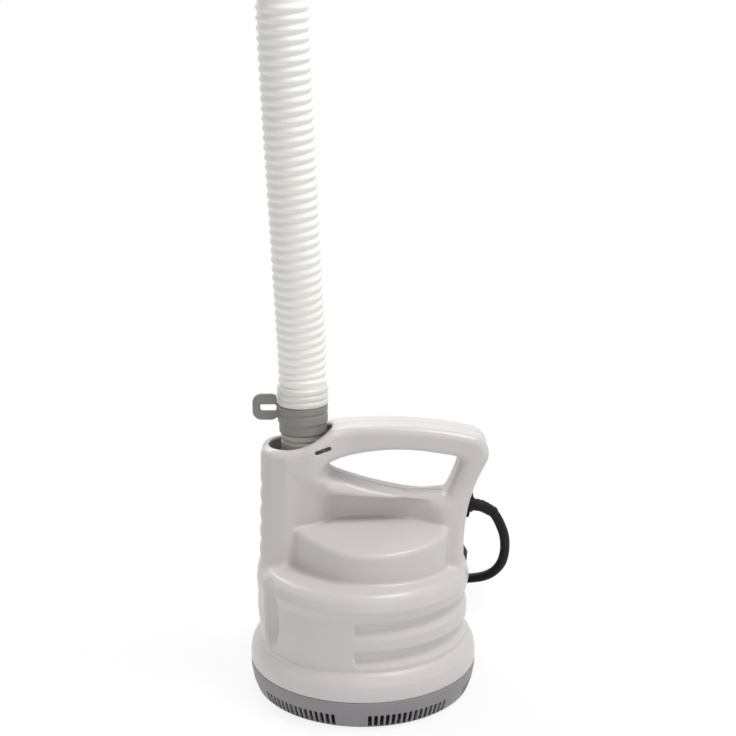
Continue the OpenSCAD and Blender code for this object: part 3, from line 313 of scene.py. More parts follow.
class Outline:
    """Signed distance to a closed outline, negative inside, looked up on a fine grid."""

    def __init__(self, points, step=0.5, margin=30):
        p = np.asarray(points, float)
        q = np.roll(p, -1, axis=0)
        self.lo = p.min(0) - margin
        self.step = step
        n = np.ceil((p.max(0) + margin - self.lo) / step).astype(int) + 2
        xs = self.lo[0] + step * np.arange(n[0])
        ys = self.lo[1] + step * np.arange(n[1])
        gx, gy = np.meshgrid(xs, ys, indexing="ij")
        best = np.full(gx.shape, 1e9)
        inside = np.zeros(gx.shape, bool)
        for a, b in zip(p, q):
            e = b - a
            along = e.dot(e)
            if along == 0:
                continue
            wx, wy = gx - a[0], gy - a[1]
            t = np.clip((wx * e[0] + wy * e[1]) / along, 0, 1)
            best = np.minimum(best, (wx - t * e[0]) ** 2 + (wy - t * e[1]) ** 2)
            if a[1] != b[1]:
                crosses = (a[1] > gy) != (b[1] > gy)
                inside ^= crosses & (gx < a[0] + (gy - a[1]) / (b[1] - a[1]) * e[0])
        self.d = np.where(inside, -1, 1) * np.sqrt(best)

    def __call__(self, x, y):
        u = np.clip((x - self.lo[0]) / self.step, 0, self.d.shape[0] - 1.001)
        v = np.clip((y - self.lo[1]) / self.step, 0, self.d.shape[1] - 1.001)
        i, j = u.astype(np.int32), v.astype(np.int32)
        fu, fv = u - i, v - j
        d = self.d
        return ((d[i, j] * (1 - fv) + d[i, j + 1] * fv) * (1 - fu)
                + (d[i + 1, j] * (1 - fv) + d[i + 1, j + 1] * fv) * fu)


def sample(field, axes, step):
    """The field on the grid. Away from its surface only the blocks' middles are looked up."""
    cells = np.array([len(a) - 1 for a in axes])
    mids = [a[0] + step * BLOCK * (np.arange(n // BLOCK) + 0.5) for a, n in zip(axes, cells)]
    at = np.meshgrid(*mids, indexing="ij")
    rough = field(*(a.ravel() for a in at)).reshape(at[0].shape)
    reach = step * BLOCK * 0.5 * math.sqrt(3) * REACH_SPARE + step
    near = np.argwhere(np.abs(rough) < reach)
    far = np.where(rough > 0, 1, -1).astype(np.float32) * reach
    f = far[np.ix_(*(np.minimum(np.arange(n + 1) // BLOCK, n // BLOCK - 1) for n in cells))]
    span = np.arange(BLOCK + 1)
    for start in range(0, len(near), BLOCK_BATCH):
        part = near[start:start + BLOCK_BATCH]
        shape = (len(part), BLOCK + 1, BLOCK + 1, BLOCK + 1)
        i, j, k = (part[:, axis, None] * BLOCK + span for axis in range(3))
        i = np.broadcast_to(i[:, :, None, None], shape)
        j = np.broadcast_to(j[:, None, :, None], shape)
        k = np.broadcast_to(k[:, None, None, :], shape)
        f[i, j, k] = field(axes[0][i].ravel(), axes[1][j].ravel(), axes[2][k].ravel()).reshape(shape)
    return f


def net_points(f, active):
    """One point for each cell that the surface crosses: the mean of the crossings on its edges."""
    total, hits = np.zeros((len(active), 3)), np.zeros(len(active))
    for axis in range(3):
        for a in (0, 1):
            for b in (0, 1):
                corner = [a, b]
                corner.insert(axis, 0)
                p = active + corner
                q = p.copy()
                q[:, axis] += 1
                fp, fq = f[tuple(p.T)], f[tuple(q.T)]
                cut = (fp < 0) != (fq < 0)
                spot = p + 0.0
                spot[:, axis] += np.where(cut, fp / np.where(cut, fp - fq, 1), 0)
                total += spot * cut[:, None]
                hits += cut
    return total / hits[:, None]


def net_faces(inside, number):
    """A quad round each grid edge that the surface crosses, wound to face outward."""
    faces = []
    for axis in range(3):
        u, v = (axis + 1) % 3, (axis + 2) % 3
        low = [slice(1, n) for n in number.shape]
        high = list(low)
        low[axis], high[axis] = slice(0, number.shape[axis]), slice(1, number.shape[axis] + 1)
        here, there = inside[tuple(low)], inside[tuple(high)]
        for flip in (False, True):
            base = np.argwhere(~here & there if flip else here & ~there)
            base[:, [u, v]] += 1
            quad = []
            for du, dv in ((1, 1), (0, 1), (0, 0), (1, 0)):
                cell = base.copy()
                cell[:, u] -= du
                cell[:, v] -= dv
                quad.append(number[tuple(cell.T)])
            quad = np.stack(quad, 1)
            faces.append(quad[:, ::-1] if flip else quad)
    return np.vstack(faces)


def settle(field, points, step):
    """Moves the points onto the field's zero along its slope."""
    most = SETTLE_MOST_STEP * step
    probes = SETTLE_PROBE * np.eye(3)
    for _ in range(SETTLE_ROUNDS):
        slope = np.stack([field(*(points + e).T) - field(*(points - e).T) for e in probes], 1)
        slope /= 2 * SETTLE_PROBE
        steepness = np.maximum((slope * slope).sum(1), SETTLE_LEAST_SLOPE)
        move = -field(*points.T)[:, None] * slope / steepness[:, None]
        points = points + move / np.maximum(np.linalg.norm(move, axis=1, keepdims=True) / most, 1)
    return points


def surface(field, low, high, step):
    """Closed quad mesh of the place where the field is zero."""
    low = np.array(low, float)
    cells = (np.ceil((np.array(high) - low) / (step * BLOCK))).astype(int) * BLOCK
    f = sample(field, [low[k] + step * np.arange(cells[k] + 1) for k in range(3)], step)
    inside = f < 0
    count = np.zeros(cells, np.int8)
    for a, b, c in np.ndindex(2, 2, 2):
        count += inside[a:a + cells[0], b:b + cells[1], c:c + cells[2]]
    active = np.argwhere((count > 0) & (count < 8))
    number = np.full(cells, -1, np.int32)
    number[tuple(active.T)] = np.arange(len(active))
    points = low + step * net_points(f, active)
    return settle(field, points, step), net_faces(inside, number)


def fast_mesh(name, points_mm, faces):
    """Mesh from arrays; all its faces have the same number of corners."""
    mesh = bpy.data.meshes.new(name)
    faces = np.asarray(faces, np.int32)
    mesh.vertices.add(len(points_mm))
    mesh.vertices.foreach_set("co", (points_mm * MM).astype(np.float32).ravel())
    mesh.loops.add(faces.size)
    mesh.loops.foreach_set("vertex_index", faces.ravel())
    mesh.polygons.add(len(faces))
    mesh.polygons.foreach_set("loop_start", np.arange(0, faces.size, faces.shape[1], dtype=np.int32))
    mesh.update(calc_edges=True)
    mesh.validate()
    mesh.shade_smooth()
    return mesh


def solid_piece(name, field, low, high, steps, body="housing"):
    """A piece between two corners of space; steps are its net's cell sizes, quick and full; the quick one is
    not used.
    """
    points, faces = surface(field, low, high, steps[1])
    obj = link(bpy.data.objects.new(name, fast_mesh(name, points, faces)))
    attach(obj, body)
    return obj


# Housing. In the names, X and W run from left to right, Y and D from front to back, Z and H upward.

WALL = 2.8
SEAT_Z = 24.5
DRUM_R = 84.5
FLANGE_R = 92
SHELF_Z = 112
DRUM_OUTLINE = round_corners(
    [(0, SEAT_Z), (FLANGE_R, SEAT_Z), (FLANGE_R, 31), (91.2, 37), (88.9, 42), (86.6, 44.7), (DRUM_R, 45.6),
     (DRUM_R, 88), (86.2, 95.5), (84.4, 103), (80.5, 107.8), (68, SHELF_Z), (0, SHELF_Z)],
    [0, 0.8, 8, 8, 5, 2, 1, 8, 5, 7, 9, 6, 0])
GROOVE_Z = (56.7, 80.2)
GROOVE_H = 13.4
GROOVE_DEPTH = 3.5
GROOVE_LIP = 5.5
GROOVE_EDGE = 0.9
GROOVE_RUNOUT = 2.6
GROOVE_CORNER_R = 5
GROOVE_TO_DEG = 94.5
COLUMN_W = 56
COLUMN_SIDE_X = (-84.4, -80.9)
COLUMN_SIDE_Z = (70, 200)
COLUMN_D = 54
COLUMN_CORNER_R = 19
OPENING_X = -49.5
OPENING_SIZE = (50, 42)
OPENING_CORNER_R = 20
OPENING_FROM_Z = 192
SCALLOPS = 9
SCALLOP_PITCH = 15.4
SCALLOP_TOP_Z = 173.7
SCALLOP_R = 6.5
SCALLOP_DEPTH = 1.4
DOME_X = 6.6
DOME_R = 67.1
DOME_EDGE_Z = 135
DOME_RIDGE_Z = 145
DOME_FLAT_X = 67.5
DOME_FACET_AT = (-59, 27)
DOME_FACET_RUN = (9, 8.5)
SCOOP_X = 5.5
SCOOP_R = 92
SCOOP_TO_X = 71.5
WEB_HALF = 3
PIPE_AT = (-47.5, 0)
PIPE_ROOM_Z = (130, 190)
PIPE_ROOM_R = (16.8, 27)
PIPE_ROOM_FILLET = (4, 24)
HANDLE_D = 38
LEG_FOOT_D = 52
SPREAD_Z = 172
TOP_R = 320
TOP_X = 17
TOP_ARC = ((TOP_X, 223 - TOP_R), TOP_R)
TOP_FROM_DEG = 92.5
CORNER_R = 16
CORNER_X = 83.5
CORNER_C = (CORNER_X, TOP_ARC[0][1] + math.sqrt((TOP_R - CORNER_R) ** 2 - (CORNER_X - TOP_X) ** 2))
LEG_R = 139
LEG_WAIST_Z = 125
LEG_C = (CORNER_X + math.sqrt((LEG_R + CORNER_R) ** 2 - (CORNER_C[1] - LEG_WAIST_Z) ** 2), LEG_WAIST_Z)
RIM = [(-100, 204.4), (-90, 204.4), (-77, 204.6), (-64, 204.9), (-52, 206.2), (-42, 209.4), (-33, 214.4),
       (-25, 219.3), (-17, 221.3), (-8, 222.02)]
INNER_X = -40
COLUMN_LOW_Z = 60
LEG_LOW_Z = 100
CROWN_X0 = -50.5
SPREAD_BLEND = 20
EDGE_R = 6.5
HOLE_TOP_R, HOLE_LOW_R, HOLE_SIDE_R = 166, 235, 150
HOLE_SIDE_DEG = 20
HOLE_TOP = ((28, 203.8 - HOLE_TOP_R), HOLE_TOP_R)
HOLE_LOW = ((62, 165.5 + HOLE_LOW_R), HOLE_LOW_R)
HOLE_SIDE = ((73.2 - HOLE_SIDE_R * math.cos(math.radians(HOLE_SIDE_DEG)),
              183 + HOLE_SIDE_R * math.sin(math.radians(HOLE_SIDE_DEG))), HOLE_SIDE_R)
HOLE_TIP_R = 7
HOLE_CORNER_R = 5
HOLE_EDGE_Z = (186, 196)
HOLE_EDGE_SLOPE = 0.1
HOLE_EDGE_FILLET = (12, 4)
LIP_H = 6.2
LIP_EDGE = [(-27.3, 195), (-27, 184), (-26.6, 174), (-22.5, 168.4), (-14, 166), (-0.6, 164.3), (25.4, 161.6),
            (61, 159.8), (90, 159.5)]
LIP_BACK = [(100, 163), (100, 240), (-36, 240), (-32, 210)]
OUTLINE_STEPS = 8
ARC_POINTS = 24
CORNER_POINTS = 16
TIP_POINTS = 12
HOLE_CORNER_POINTS = 10
RECESS_R = 13.6
RECESS_AT = (-77.6, 45)
RECESS_Z = (71, 82)
RECESS_END_H = 25
RIM_SLOT_AT = (-31, 205.5)
RIM_SLOT_TILT_DEG = 14
RIM_SLOT_HALF = 4.7
RIM_SLOT_R = 1.8
RIM_SLOT_TO_Y = -10
SCREW_PLACES = [(-73, 66), (-73, 178), (76, 92), (76, 52), (-18, 209), (54, 151), (88, 196)]
SCREW_HEAD_R = 3.7
SCREW_WALL = 2.4
SCREW_GAP = 0.3
WELL_FROM_Y = 8
PARTING_GAP = 0.08
FILLET = {
    "groove": 1, "recess": 2, "scallop": 1.5, "shoulder": 5, "lip": 3, "leg": 4, "scoop": 5,
    "dome foot": 2.5, "dome flat": 3, "dome facet": 9, "dome edge": 5, "opening": 1.5, "boss": 1,
    "well": 0.8, "parting line": 0.7}

drum_outline = Outline(DRUM_OUTLINE)


def box2(x, y, half_x, half_y, r):
    """Rounded rectangle round the origin."""
    qx, qy = np.abs(x) - half_x + r, np.abs(y) - half_y + r
    return np.minimum(np.maximum(qx, qy), 0) + np.hypot(np.maximum(qx, 0), np.maximum(qy, 0)) - r


def disc(x, z, circle):
    """Distance from a circle, given as its centre and radius."""
    return np.hypot(x - circle[0][0], z - circle[0][1]) - circle[1]


def meet(c1, r1, c2, r2):
    """One of the two places where two circles meet."""
    c1, c2 = np.array(c1, float), np.array(c2, float)
    d = np.linalg.norm(c2 - c1)
    a = (r1 * r1 - r2 * r2 + d * d) / (2 * d)
    u = (c2 - c1) / d
    return c1 + u * a + math.sqrt(r1 * r1 - a * a) * np.array([-u[1], u[0]])


def heading(centre, point):
    """Direction from the centre to the point, in degrees."""
    return math.degrees(math.atan2(point[1] - centre[1], point[0] - centre[0]))


def side_outline():
    """Column, slanted rim, handle and leg in X and Z."""
    start, end = heading(TOP_ARC[0], CORNER_C), heading(CORNER_C, LEG_C)
    return np.vstack([
        [(INNER_X, COLUMN_LOW_Z), (RIM[0][0], COLUMN_LOW_Z)], smooth_line(RIM, OUTLINE_STEPS),
        arc_points(*TOP_ARC, TOP_FROM_DEG, start, ARC_POINTS),
        arc_points(CORNER_C, CORNER_R, start, end, CORNER_POINTS),
        arc_points(LEG_C, LEG_R, 180 + end, 180, ARC_POINTS),
        [(LEG_C[0] - LEG_R, LEG_LOW_Z), (INNER_X, LEG_LOW_Z)]])


side_shape = Outline(side_outline())


def column_side(z):
    """Where the column's outer side is; it leans a little."""
    return np.interp(z, COLUMN_SIDE_Z, COLUMN_SIDE_X)


def upper_field(x, y, z):
    """Column, handle and leg in one, before the hand hole and the scoops."""
    half = np.interp(z, [SHELF_Z, SPREAD_Z], [LEG_FOOT_D / 2, HANDLE_D / 2])
    column = box2(x - column_side(z) - COLUMN_W / 2, y, COLUMN_W / 2, COLUMN_D / 2, COLUMN_CORNER_R)
    plan = smin(column, np.maximum(np.abs(y) - half, CROWN_X0 - x), SPREAD_BLEND)
    a, b = side_shape(x, z) + EDGE_R, plan + EDGE_R
    return np.minimum(np.maximum(a, b), 0) + np.hypot(np.maximum(a, 0), np.maximum(b, 0)) - EDGE_R


def scallop_field(x, z):
    """The finger scallops in the column's outer side."""
    low = SCALLOP_TOP_Z - (SCALLOPS - 1) * SCALLOP_PITCH
    k = np.clip(np.round((z - low) / SCALLOP_PITCH), 0, SCALLOPS - 1)
    return np.hypot(x - column_side(z) + SCALLOP_R - SCALLOP_DEPTH, z - low - k * SCALLOP_PITCH) - SCALLOP_R


def hole_outline():
    """The space inside three circles, with its corners rounded."""
    def corner(one, other, r):
        return meet(one[0], one[1] - r, other[0], other[1] - r)

    tip = corner(HOLE_TOP, HOLE_LOW, HOLE_TIP_R)
    low = corner(HOLE_LOW, HOLE_SIDE, HOLE_CORNER_R)
    top = corner(HOLE_SIDE, HOLE_TOP, HOLE_CORNER_R)
    top_start, top_end = heading(HOLE_TOP[0], top), heading(HOLE_TOP[0], tip)
    low_start, low_end = heading(HOLE_LOW[0], tip) + 360, heading(HOLE_LOW[0], low)
    side_start, side_end = heading(HOLE_SIDE[0], low), heading(HOLE_SIDE[0], top)
    return np.vstack([
        arc_points(*HOLE_TOP, top_start, top_end, ARC_POINTS),
        arc_points(tip, HOLE_TIP_R, top_end, low_start, TIP_POINTS),
        arc_points(*HOLE_LOW, low_start, low_end + 360, ARC_POINTS),
        arc_points(low, HOLE_CORNER_R, low_end, side_start, HOLE_CORNER_POINTS),
        arc_points(*HOLE_SIDE, side_start, side_end, HOLE_CORNER_POINTS),
        arc_points(top, HOLE_CORNER_R, side_end, top_start, HOLE_CORNER_POINTS)])


hole_shape = Outline(hole_outline())


lip_shape = Outline(np.vstack([smooth_line(LIP_EDGE, OUTLINE_STEPS), LIP_BACK]))


def dome_field(x, y, z):
    """Motor dome: a round with one flat side, two facets and a roof that falls to front and back."""
    slope = (DOME_RIDGE_Z - DOME_EDGE_Z) / DOME_R
    side = np.hypot(x - DOME_X, y) - DOME_R
    side = smax(side, x - DOME_FLAT_X, FILLET["dome flat"])
    (at_x, at_y), (run_x, run_y) = DOME_FACET_AT, DOME_FACET_RUN
    facet = ((at_x - x) * run_y + (np.abs(y) - at_y) * run_x) / math.hypot(run_x, run_y)
    side = smax(side, facet, FILLET["dome facet"])
    roof = (z - DOME_RIDGE_Z + slope * np.abs(y)) / math.sqrt(1 + slope * slope)
    return smax(side, roof, FILLET["dome edge"])


def groove_field(x, y, z):
    """Side grooves: sharp at the top, bevelled at the foot and at the rounded ends."""
    r = np.hypot(x, y)
    along = np.arctan2(y, x) * DRUM_R
    ends = math.radians(GROOVE_TO_DEG) * DRUM_R
    grooves = []
    for mid in GROOVE_Z:
        inset = -box2(along, z - mid, ends, GROOVE_H / 2, GROOVE_CORNER_R)
        share = np.minimum((z - mid + GROOVE_H / 2) / GROOVE_LIP, inset / GROOVE_EDGE)
        share = np.clip(np.minimum(share, (ends - np.abs(along)) / GROOVE_RUNOUT), 0, 1)
        grooves.append(np.maximum(DRUM_R - GROOVE_DEPTH * share - r, -inset))
    return np.minimum(*grooves)


def recess_field(x, y, z):
    """Oval recesses in the drum, one on each side of the column."""
    dz = (z - np.clip(z, *RECESS_Z)) * RECESS_R / RECESS_END_H
    return np.sqrt((x - RECESS_AT[0]) ** 2 + (np.abs(y) - RECESS_AT[1]) ** 2 + dz ** 2) - RECESS_R


def scoop_field(x, y, z):
    """What is taken away on both sides of the web, short of the lip, the leg and the pipe's room."""
    scoop = np.hypot(x - SCOOP_X, np.abs(y) - SCOOP_R - WEB_HALF) - SCOOP_R
    scoop = np.maximum(scoop, SHELF_Z - z)
    lip = np.minimum(lip_shape(x, z), np.minimum(hole_shape(x, z), disc(x, z, HOLE_LOW)) - LIP_H)
    scoop = smax(scoop, -lip, FILLET["lip"])
    scoop = smax(scoop, x - SCOOP_TO_X, FILLET["leg"])
    room = np.interp(z, PIPE_ROOM_Z, PIPE_ROOM_R) - np.hypot(x - PIPE_AT[0], y - PIPE_AT[1])
    return smax(scoop, room, np.interp(z, PIPE_ROOM_Z, PIPE_ROOM_FILLET))


def body_field(x, y, z):
    """The whole housing, still solid."""
    drum = drum_outline(np.hypot(x, y), z)
    drum = smax(drum, -groove_field(x, y, z), FILLET["groove"])
    drum = smax(drum, -recess_field(x, y, z), FILLET["recess"])
    upper = smax(upper_field(x, y, z), -scallop_field(x, z), FILLET["scallop"])
    body = smin(drum, upper, FILLET["shoulder"])
    body = smax(body, -scoop_field(x, y, z), FILLET["scoop"])
    edge = np.interp(z - HOLE_EDGE_SLOPE * x, HOLE_EDGE_Z, HOLE_EDGE_FILLET)
    body = smax(body, -hole_shape(x, z), edge)
    return smin(body, dome_field(x, y, z), FILLET["dome foot"])


def rim_slot_field(x, y, z):
    """Small slanted slot beside the rim, in the front half."""
    c, s = math.cos(math.radians(RIM_SLOT_TILT_DEG)), math.sin(math.radians(RIM_SLOT_TILT_DEG))
    dx, dz = x - RIM_SLOT_AT[0], z - RIM_SLOT_AT[1]
    u, v = dx * c + dz * s, dz * c - dx * s
    from_middle = np.hypot(u - np.clip(u, -RIM_SLOT_HALF, RIM_SLOT_HALF), v)
    return np.maximum(from_middle - RIM_SLOT_R, y - RIM_SLOT_TO_Y)


def shell_field(x, y, z):
    """The housing's wall with its opening, slot and screw bosses."""
    outer = body_field(x, y, z)
    shell = np.maximum(outer, -(outer + WALL))
    opening = box2(x - OPENING_X, y, OPENING_SIZE[0] / 2, OPENING_SIZE[1] / 2, OPENING_CORNER_R)
    shell = smax(shell, -np.maximum(opening, OPENING_FROM_Z - z), FILLET["opening"])
    shell = np.maximum(shell, -rim_slot_field(x, y, z))
    from_screw = np.min([np.hypot(x - at[0], z - at[1]) for at in SCREW_PLACES], 0) - SCREW_HEAD_R
    boss = np.maximum(smax(from_screw - SCREW_WALL, outer + SCREW_GAP, FILLET["boss"]), -y)
    shell = np.minimum(shell, boss)
    shell = smax(shell, -np.maximum(from_screw - SCREW_GAP, WELL_FROM_Y - y), FILLET["well"])
    return np.maximum(shell, SEAT_Z - z)


def make_half(name, side, node_name):
    """One moulded half, with a fine rounded edge at the parting line."""
    def field(x, y, z):
        return smax(shell_field(x, y, z), PARTING_GAP - side * y, FILLET["parting line"])

    y_range = (-97, 3) if side < 0 else (-3, 97)
    half = solid_piece(name, field, (-97, y_range[0], 21), (106, y_range[1], 228), (1.4, 0.85))
    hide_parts(node_name)
    return half


shell_halves = [make_half("front_half", -1, "front_shell"), make_half("rear_half", 1, "rear_shell")]


# Strainer base: a lathed ring with upright slots cut right through

BASE_OUTLINE = round_corners(
    [(0, 1.2), (85.6, 1.2), (87.8, 3), (90.4, 10.3), (92, 19.6), (92, SEAT_Z), (89.4, SEAT_Z), (89.4, 18),
     (87.6, 10.6), (85.6, 4.6), (84, 3.8), (0, 3.8)], [0, 2.2, 2, 4, 2, 0.5, 0, 1, 1, 1, 0.5, 0])
SLOT_GROUPS = 6
GROUP_SLOTS = 15
SLOT_PITCH_DEG = 2.97
SLOT_MID_DEG = -5.6
SLOT_W = 2.9
SLOT_Z = (2.9, 13.2)
SLOT_CORNER_R = 1.2
SLOT_FROM_R = 82
BOSS_RING_R = 72
BASE_BOSSES = 5
BOSS_R = 5
BOSS_BORE_R = 0.9
BOSS_LOW_Z = 1.2
BOSS_FILLET = 1.5
base_outline = Outline(BASE_OUTLINE, step=0.25, margin=12)


def base_field(x, y, z):
    """The lathed ring with its screw bosses, cut by groups of slots."""
    r, angle = np.hypot(x, y), np.degrees(np.arctan2(y, x))
    turns = np.radians((np.arange(BASE_BOSSES) + 0.5) * 360 / BASE_BOSSES - 90)
    places = zip(BOSS_RING_R * np.cos(turns), BOSS_RING_R * np.sin(turns))
    from_boss = np.min([np.hypot(x - boss_x, y - boss_y) for boss_x, boss_y in places], 0)
    bosses = np.maximum(np.maximum(from_boss - BOSS_R, BOSS_BORE_R - from_boss),
                        np.maximum(BOSS_LOW_Z - z, z - SEAT_Z))
    ring = smin(base_outline(r, z), bosses, BOSS_FILLET)
    step = 360 / SLOT_GROUPS
    within = (angle - SLOT_MID_DEG + step / 2) % step - step / 2
    k = np.clip(np.round(within / SLOT_PITCH_DEG), -(GROUP_SLOTS // 2), GROUP_SLOTS // 2)
    off = np.radians(within - k * SLOT_PITCH_DEG) * r
    slot = box2(off, z - sum(SLOT_Z) / 2, SLOT_W / 2, (SLOT_Z[1] - SLOT_Z[0]) / 2, SLOT_CORNER_R)
    return np.maximum(ring, -np.maximum(slot, SLOT_FROM_R - r))


def make_base():
    base = solid_piece("base", base_field, (-95, -95, -2), (95, 95, 28), (1.2, 0.7))
    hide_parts("base_strainer")
    return base


base = make_base()


# Outlet and cord inlet: collar with its loop lug, cuff, stub and gland

NECK_R = 15.5
BAND_R = NECK_R + 0.1
STUB_R = 17.6
SEAT_RING_R = 16.9
STUB_BORE_R = 13.4
COLLAR_R = 19.8
COLLAR_LOW_R = 18.9
COLLAR_GROOVE_R = 19.2
COLLAR_Z = (214.5, 237)
COLLAR_OUTLINE = [
    (BAND_R, COLLAR_Z[0]), (COLLAR_LOW_R, COLLAR_Z[0]), (COLLAR_LOW_R, 222.6), (COLLAR_R, 223.4),
    (COLLAR_R, 229.6), (COLLAR_GROOVE_R, 230.2), (COLLAR_GROOVE_R, 231.6), (COLLAR_R, 232.2),
    (COLLAR_R, COLLAR_Z[1]), (BAND_R, COLLAR_Z[1])]
COLLAR_ROUNDS = [0.3, 1.2, 0.4, 0.5, 0.5, 0.3, 0.3, 0.5, 0.8, 0.3]
LUG_AT = (-76.65, 234.5)
LUG_SIZE = (21.3, 21)
LUG_CORNER_R = 7
LUG_T = 5
LUG_GAP = 1
LOOP_AT = (-74.8, 234)
LOOP_SIZE = (13, 5.4)
LUG_ROUND = 1.6
LOOP_ROUND = 1.4
CUFF_Z = (237.3, 252.8)
CUFF_R = 20.4
CUFF_LOW_R = 19.4
CUFF_RING_R = CUFF_R - 0.1
CUFF_RING = [(0, CUFF_LOW_R), (0.9, CUFF_RING_R), (3, CUFF_RING_R), (3.9, CUFF_LOW_R)]
CUFF_RINGS = 3
CUFF_RING_PITCH = 5
CUFF_FIRST_RING = 1
CUFF_GAP = 0.4
STUB_OUTLINE = [
    (STUB_BORE_R, 190), (STUB_R, 190), (STUB_R, 207.4), (SEAT_RING_R, 208), (SEAT_RING_R, 209.4),
    (STUB_R, 210), (STUB_R, 214.2), (NECK_R, 214.2), (NECK_R, 250), (STUB_BORE_R, 250)]
STUB_ROUNDS = [0.4, 0.8, 0.4, 0.4, 0.4, 0.4, 0.5, 0.3, 0.8, 0.4]
# The gland's U runs along its axis, away from the leg.
GLAND_AT = (83.35, 153.5)
GLAND_TILT_DEG = 11.83
PLATE_SIZE = (15, 19)
PLATE_CORNER_R = 2.5
PLATE_U = (0.5, 3.5)
PLATE_ROUND = 0.8
SLEEVE_R = 6
SLEEVE_U = (-25.6, 6)
SLEEVE_ROUND = 1
SLEEVE_FILLET = 1.2
BOOT_ROUTE = [(85, 0, 153.3), (88, 0, 152.7), (96, 0.3, 151.2), (105, 2.5, 145.5)]
BOOT_PARTS = 32
BOOT_R = (5.1, 4.35)
BOOT_RIBS = 6
BOOT_RIB_H = 0.15
BOOT_FILLET = 0.8


def lathe(points, radii, centre):
    """Field of an outline turned about an upright axis, its corners rounded by the radii."""
    shape = Outline(round_corners(points, radii), step=0.2, margin=8)
    return lambda x, y, z: shape(np.hypot(x - centre[0], y - centre[1]), z)


def make_collar():
    band = lathe(COLLAR_OUTLINE, COLLAR_ROUNDS, PIPE_AT)

    def field(x, y, z):
        from_pipe = np.hypot(x - PIPE_AT[0], y)
        plan = box2(x - LUG_AT[0], z - LUG_AT[1], LUG_SIZE[0] / 2, LUG_SIZE[1] / 2, LUG_CORNER_R)
        lug = smax(plan, np.abs(y) - LUG_T / 2, LUG_ROUND)
        lug = np.maximum(lug, NECK_R + LUG_GAP - from_pipe)
        loop = box2(x - LOOP_AT[0], z - LOOP_AT[1], LOOP_SIZE[0] / 2, LOOP_SIZE[1] / 2, LUG_ROUND)
        lug = smax(lug, -loop, LOOP_ROUND)
        cuff_room = np.maximum(from_pipe - CUFF_R - CUFF_GAP, COLLAR_Z[1] - z)
        return smin(band(x, y, z), np.maximum(lug, -cuff_room), LUG_ROUND)

    collar = solid_piece("collar", field, (-90, -22, 212), (-25, 22, 248), (0.8, 0.5), body="collar")
    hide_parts("outlet_collar")
    return collar


def make_cuff():
    """Pale end of the hose with three rings."""
    low, high = CUFF_Z
    outer = [(BAND_R, low), (CUFF_LOW_R, low)]
    for ring in range(CUFF_RINGS):
        z = low + CUFF_FIRST_RING + ring * CUFF_RING_PITCH
        outer += [(r, z + h) for h, r in CUFF_RING]
    outer += [(CUFF_LOW_R, high), (BAND_R, high)]
    field = lathe(outer, [0.3] + [0.4] * (len(outer) - 2) + [0.3], PIPE_AT)
    cuff = solid_piece("cuff", field, (-70, -22, low - 2), (-25, 22, high + 2), (0.8, 0.5))
    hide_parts("hose_cuff")
    return cuff


def make_stub():
    """Outlet stub with its seat ring and the neck that carries collar and cuff."""
    field = lathe(STUB_OUTLINE, STUB_ROUNDS, PIPE_AT)
    stub = solid_piece("stub", field, (-70, -22, 188), (-25, 22, 252), (0.9, 0.6))
    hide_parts("outlet_stub")
    return stub


def from_line(line, x, y, z):
    """Distance from a line, and how far along it the nearest place is, from 0 to 1."""
    best, at = np.full(len(x), 1e9), np.zeros(len(x))
    for i in range(len(line) - 1):
        a, e = line[i], line[i + 1] - line[i]
        w = np.stack([x, y, z], 1) - a
        t = np.clip(w @ e / e.dot(e), 0, 1)
        d = np.linalg.norm(w - t[:, None] * e, axis=1)
        near = d < best
        best = np.where(near, d, best)
        at = np.where(near, (i + t) / (len(line) - 1), at)
    return best, at


def make_gland():
    """Flange plate on the leg, and a ribbed, tapered boot that guides the cord."""
    tilt = math.radians(GLAND_TILT_DEG)
    away = np.array([math.cos(tilt), 0, -math.sin(tilt)])
    up = np.array([math.sin(tilt), 0, math.cos(tilt)])
    boot_line = even_line(smooth_line(BOOT_ROUTE, OUTLINE_STEPS), BOOT_PARTS + 1)

    def field(x, y, z):
        p = np.stack([x - GLAND_AT[0], y, z - GLAND_AT[1]], 1)
        u, v = p @ away, p @ up
        plate = box2(y, v, PLATE_SIZE[0] / 2, PLATE_SIZE[1] / 2, PLATE_CORNER_R)
        plate = smax(plate, np.abs(u - sum(PLATE_U) / 2) - (PLATE_U[1] - PLATE_U[0]) / 2, PLATE_ROUND)
        sleeve = smax(np.hypot(y, v) - SLEEVE_R, np.maximum(SLEEVE_U[0] - u, u - SLEEVE_U[1]), SLEEVE_ROUND)
        away_from_boot, along = from_line(boot_line, x, y, z)
        ribs = BOOT_RIB_H * np.cos(2 * math.pi * BOOT_RIBS * along)
        boot = away_from_boot - np.interp(along, [0, 1], BOOT_R) - ribs
        return smin(smin(plate, sleeve, SLEEVE_FILLET), boot, BOOT_FILLET)

    gland = solid_piece("gland", field, (54, -12, 136), (112, 12, 170), (0.8, 0.45))
    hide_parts("cord_gland")
    return gland


collar, cuff, stub, gland = make_collar(), make_cuff(), make_stub(), make_gland()


# Materials

DRIFT_SCALE = 22
GLOSS_SPREAD = 0.08
GRAIN_SCALE = 400
GRAIN_STRENGTH = 0.02
GRAIN_HEIGHT_M = 0.0005


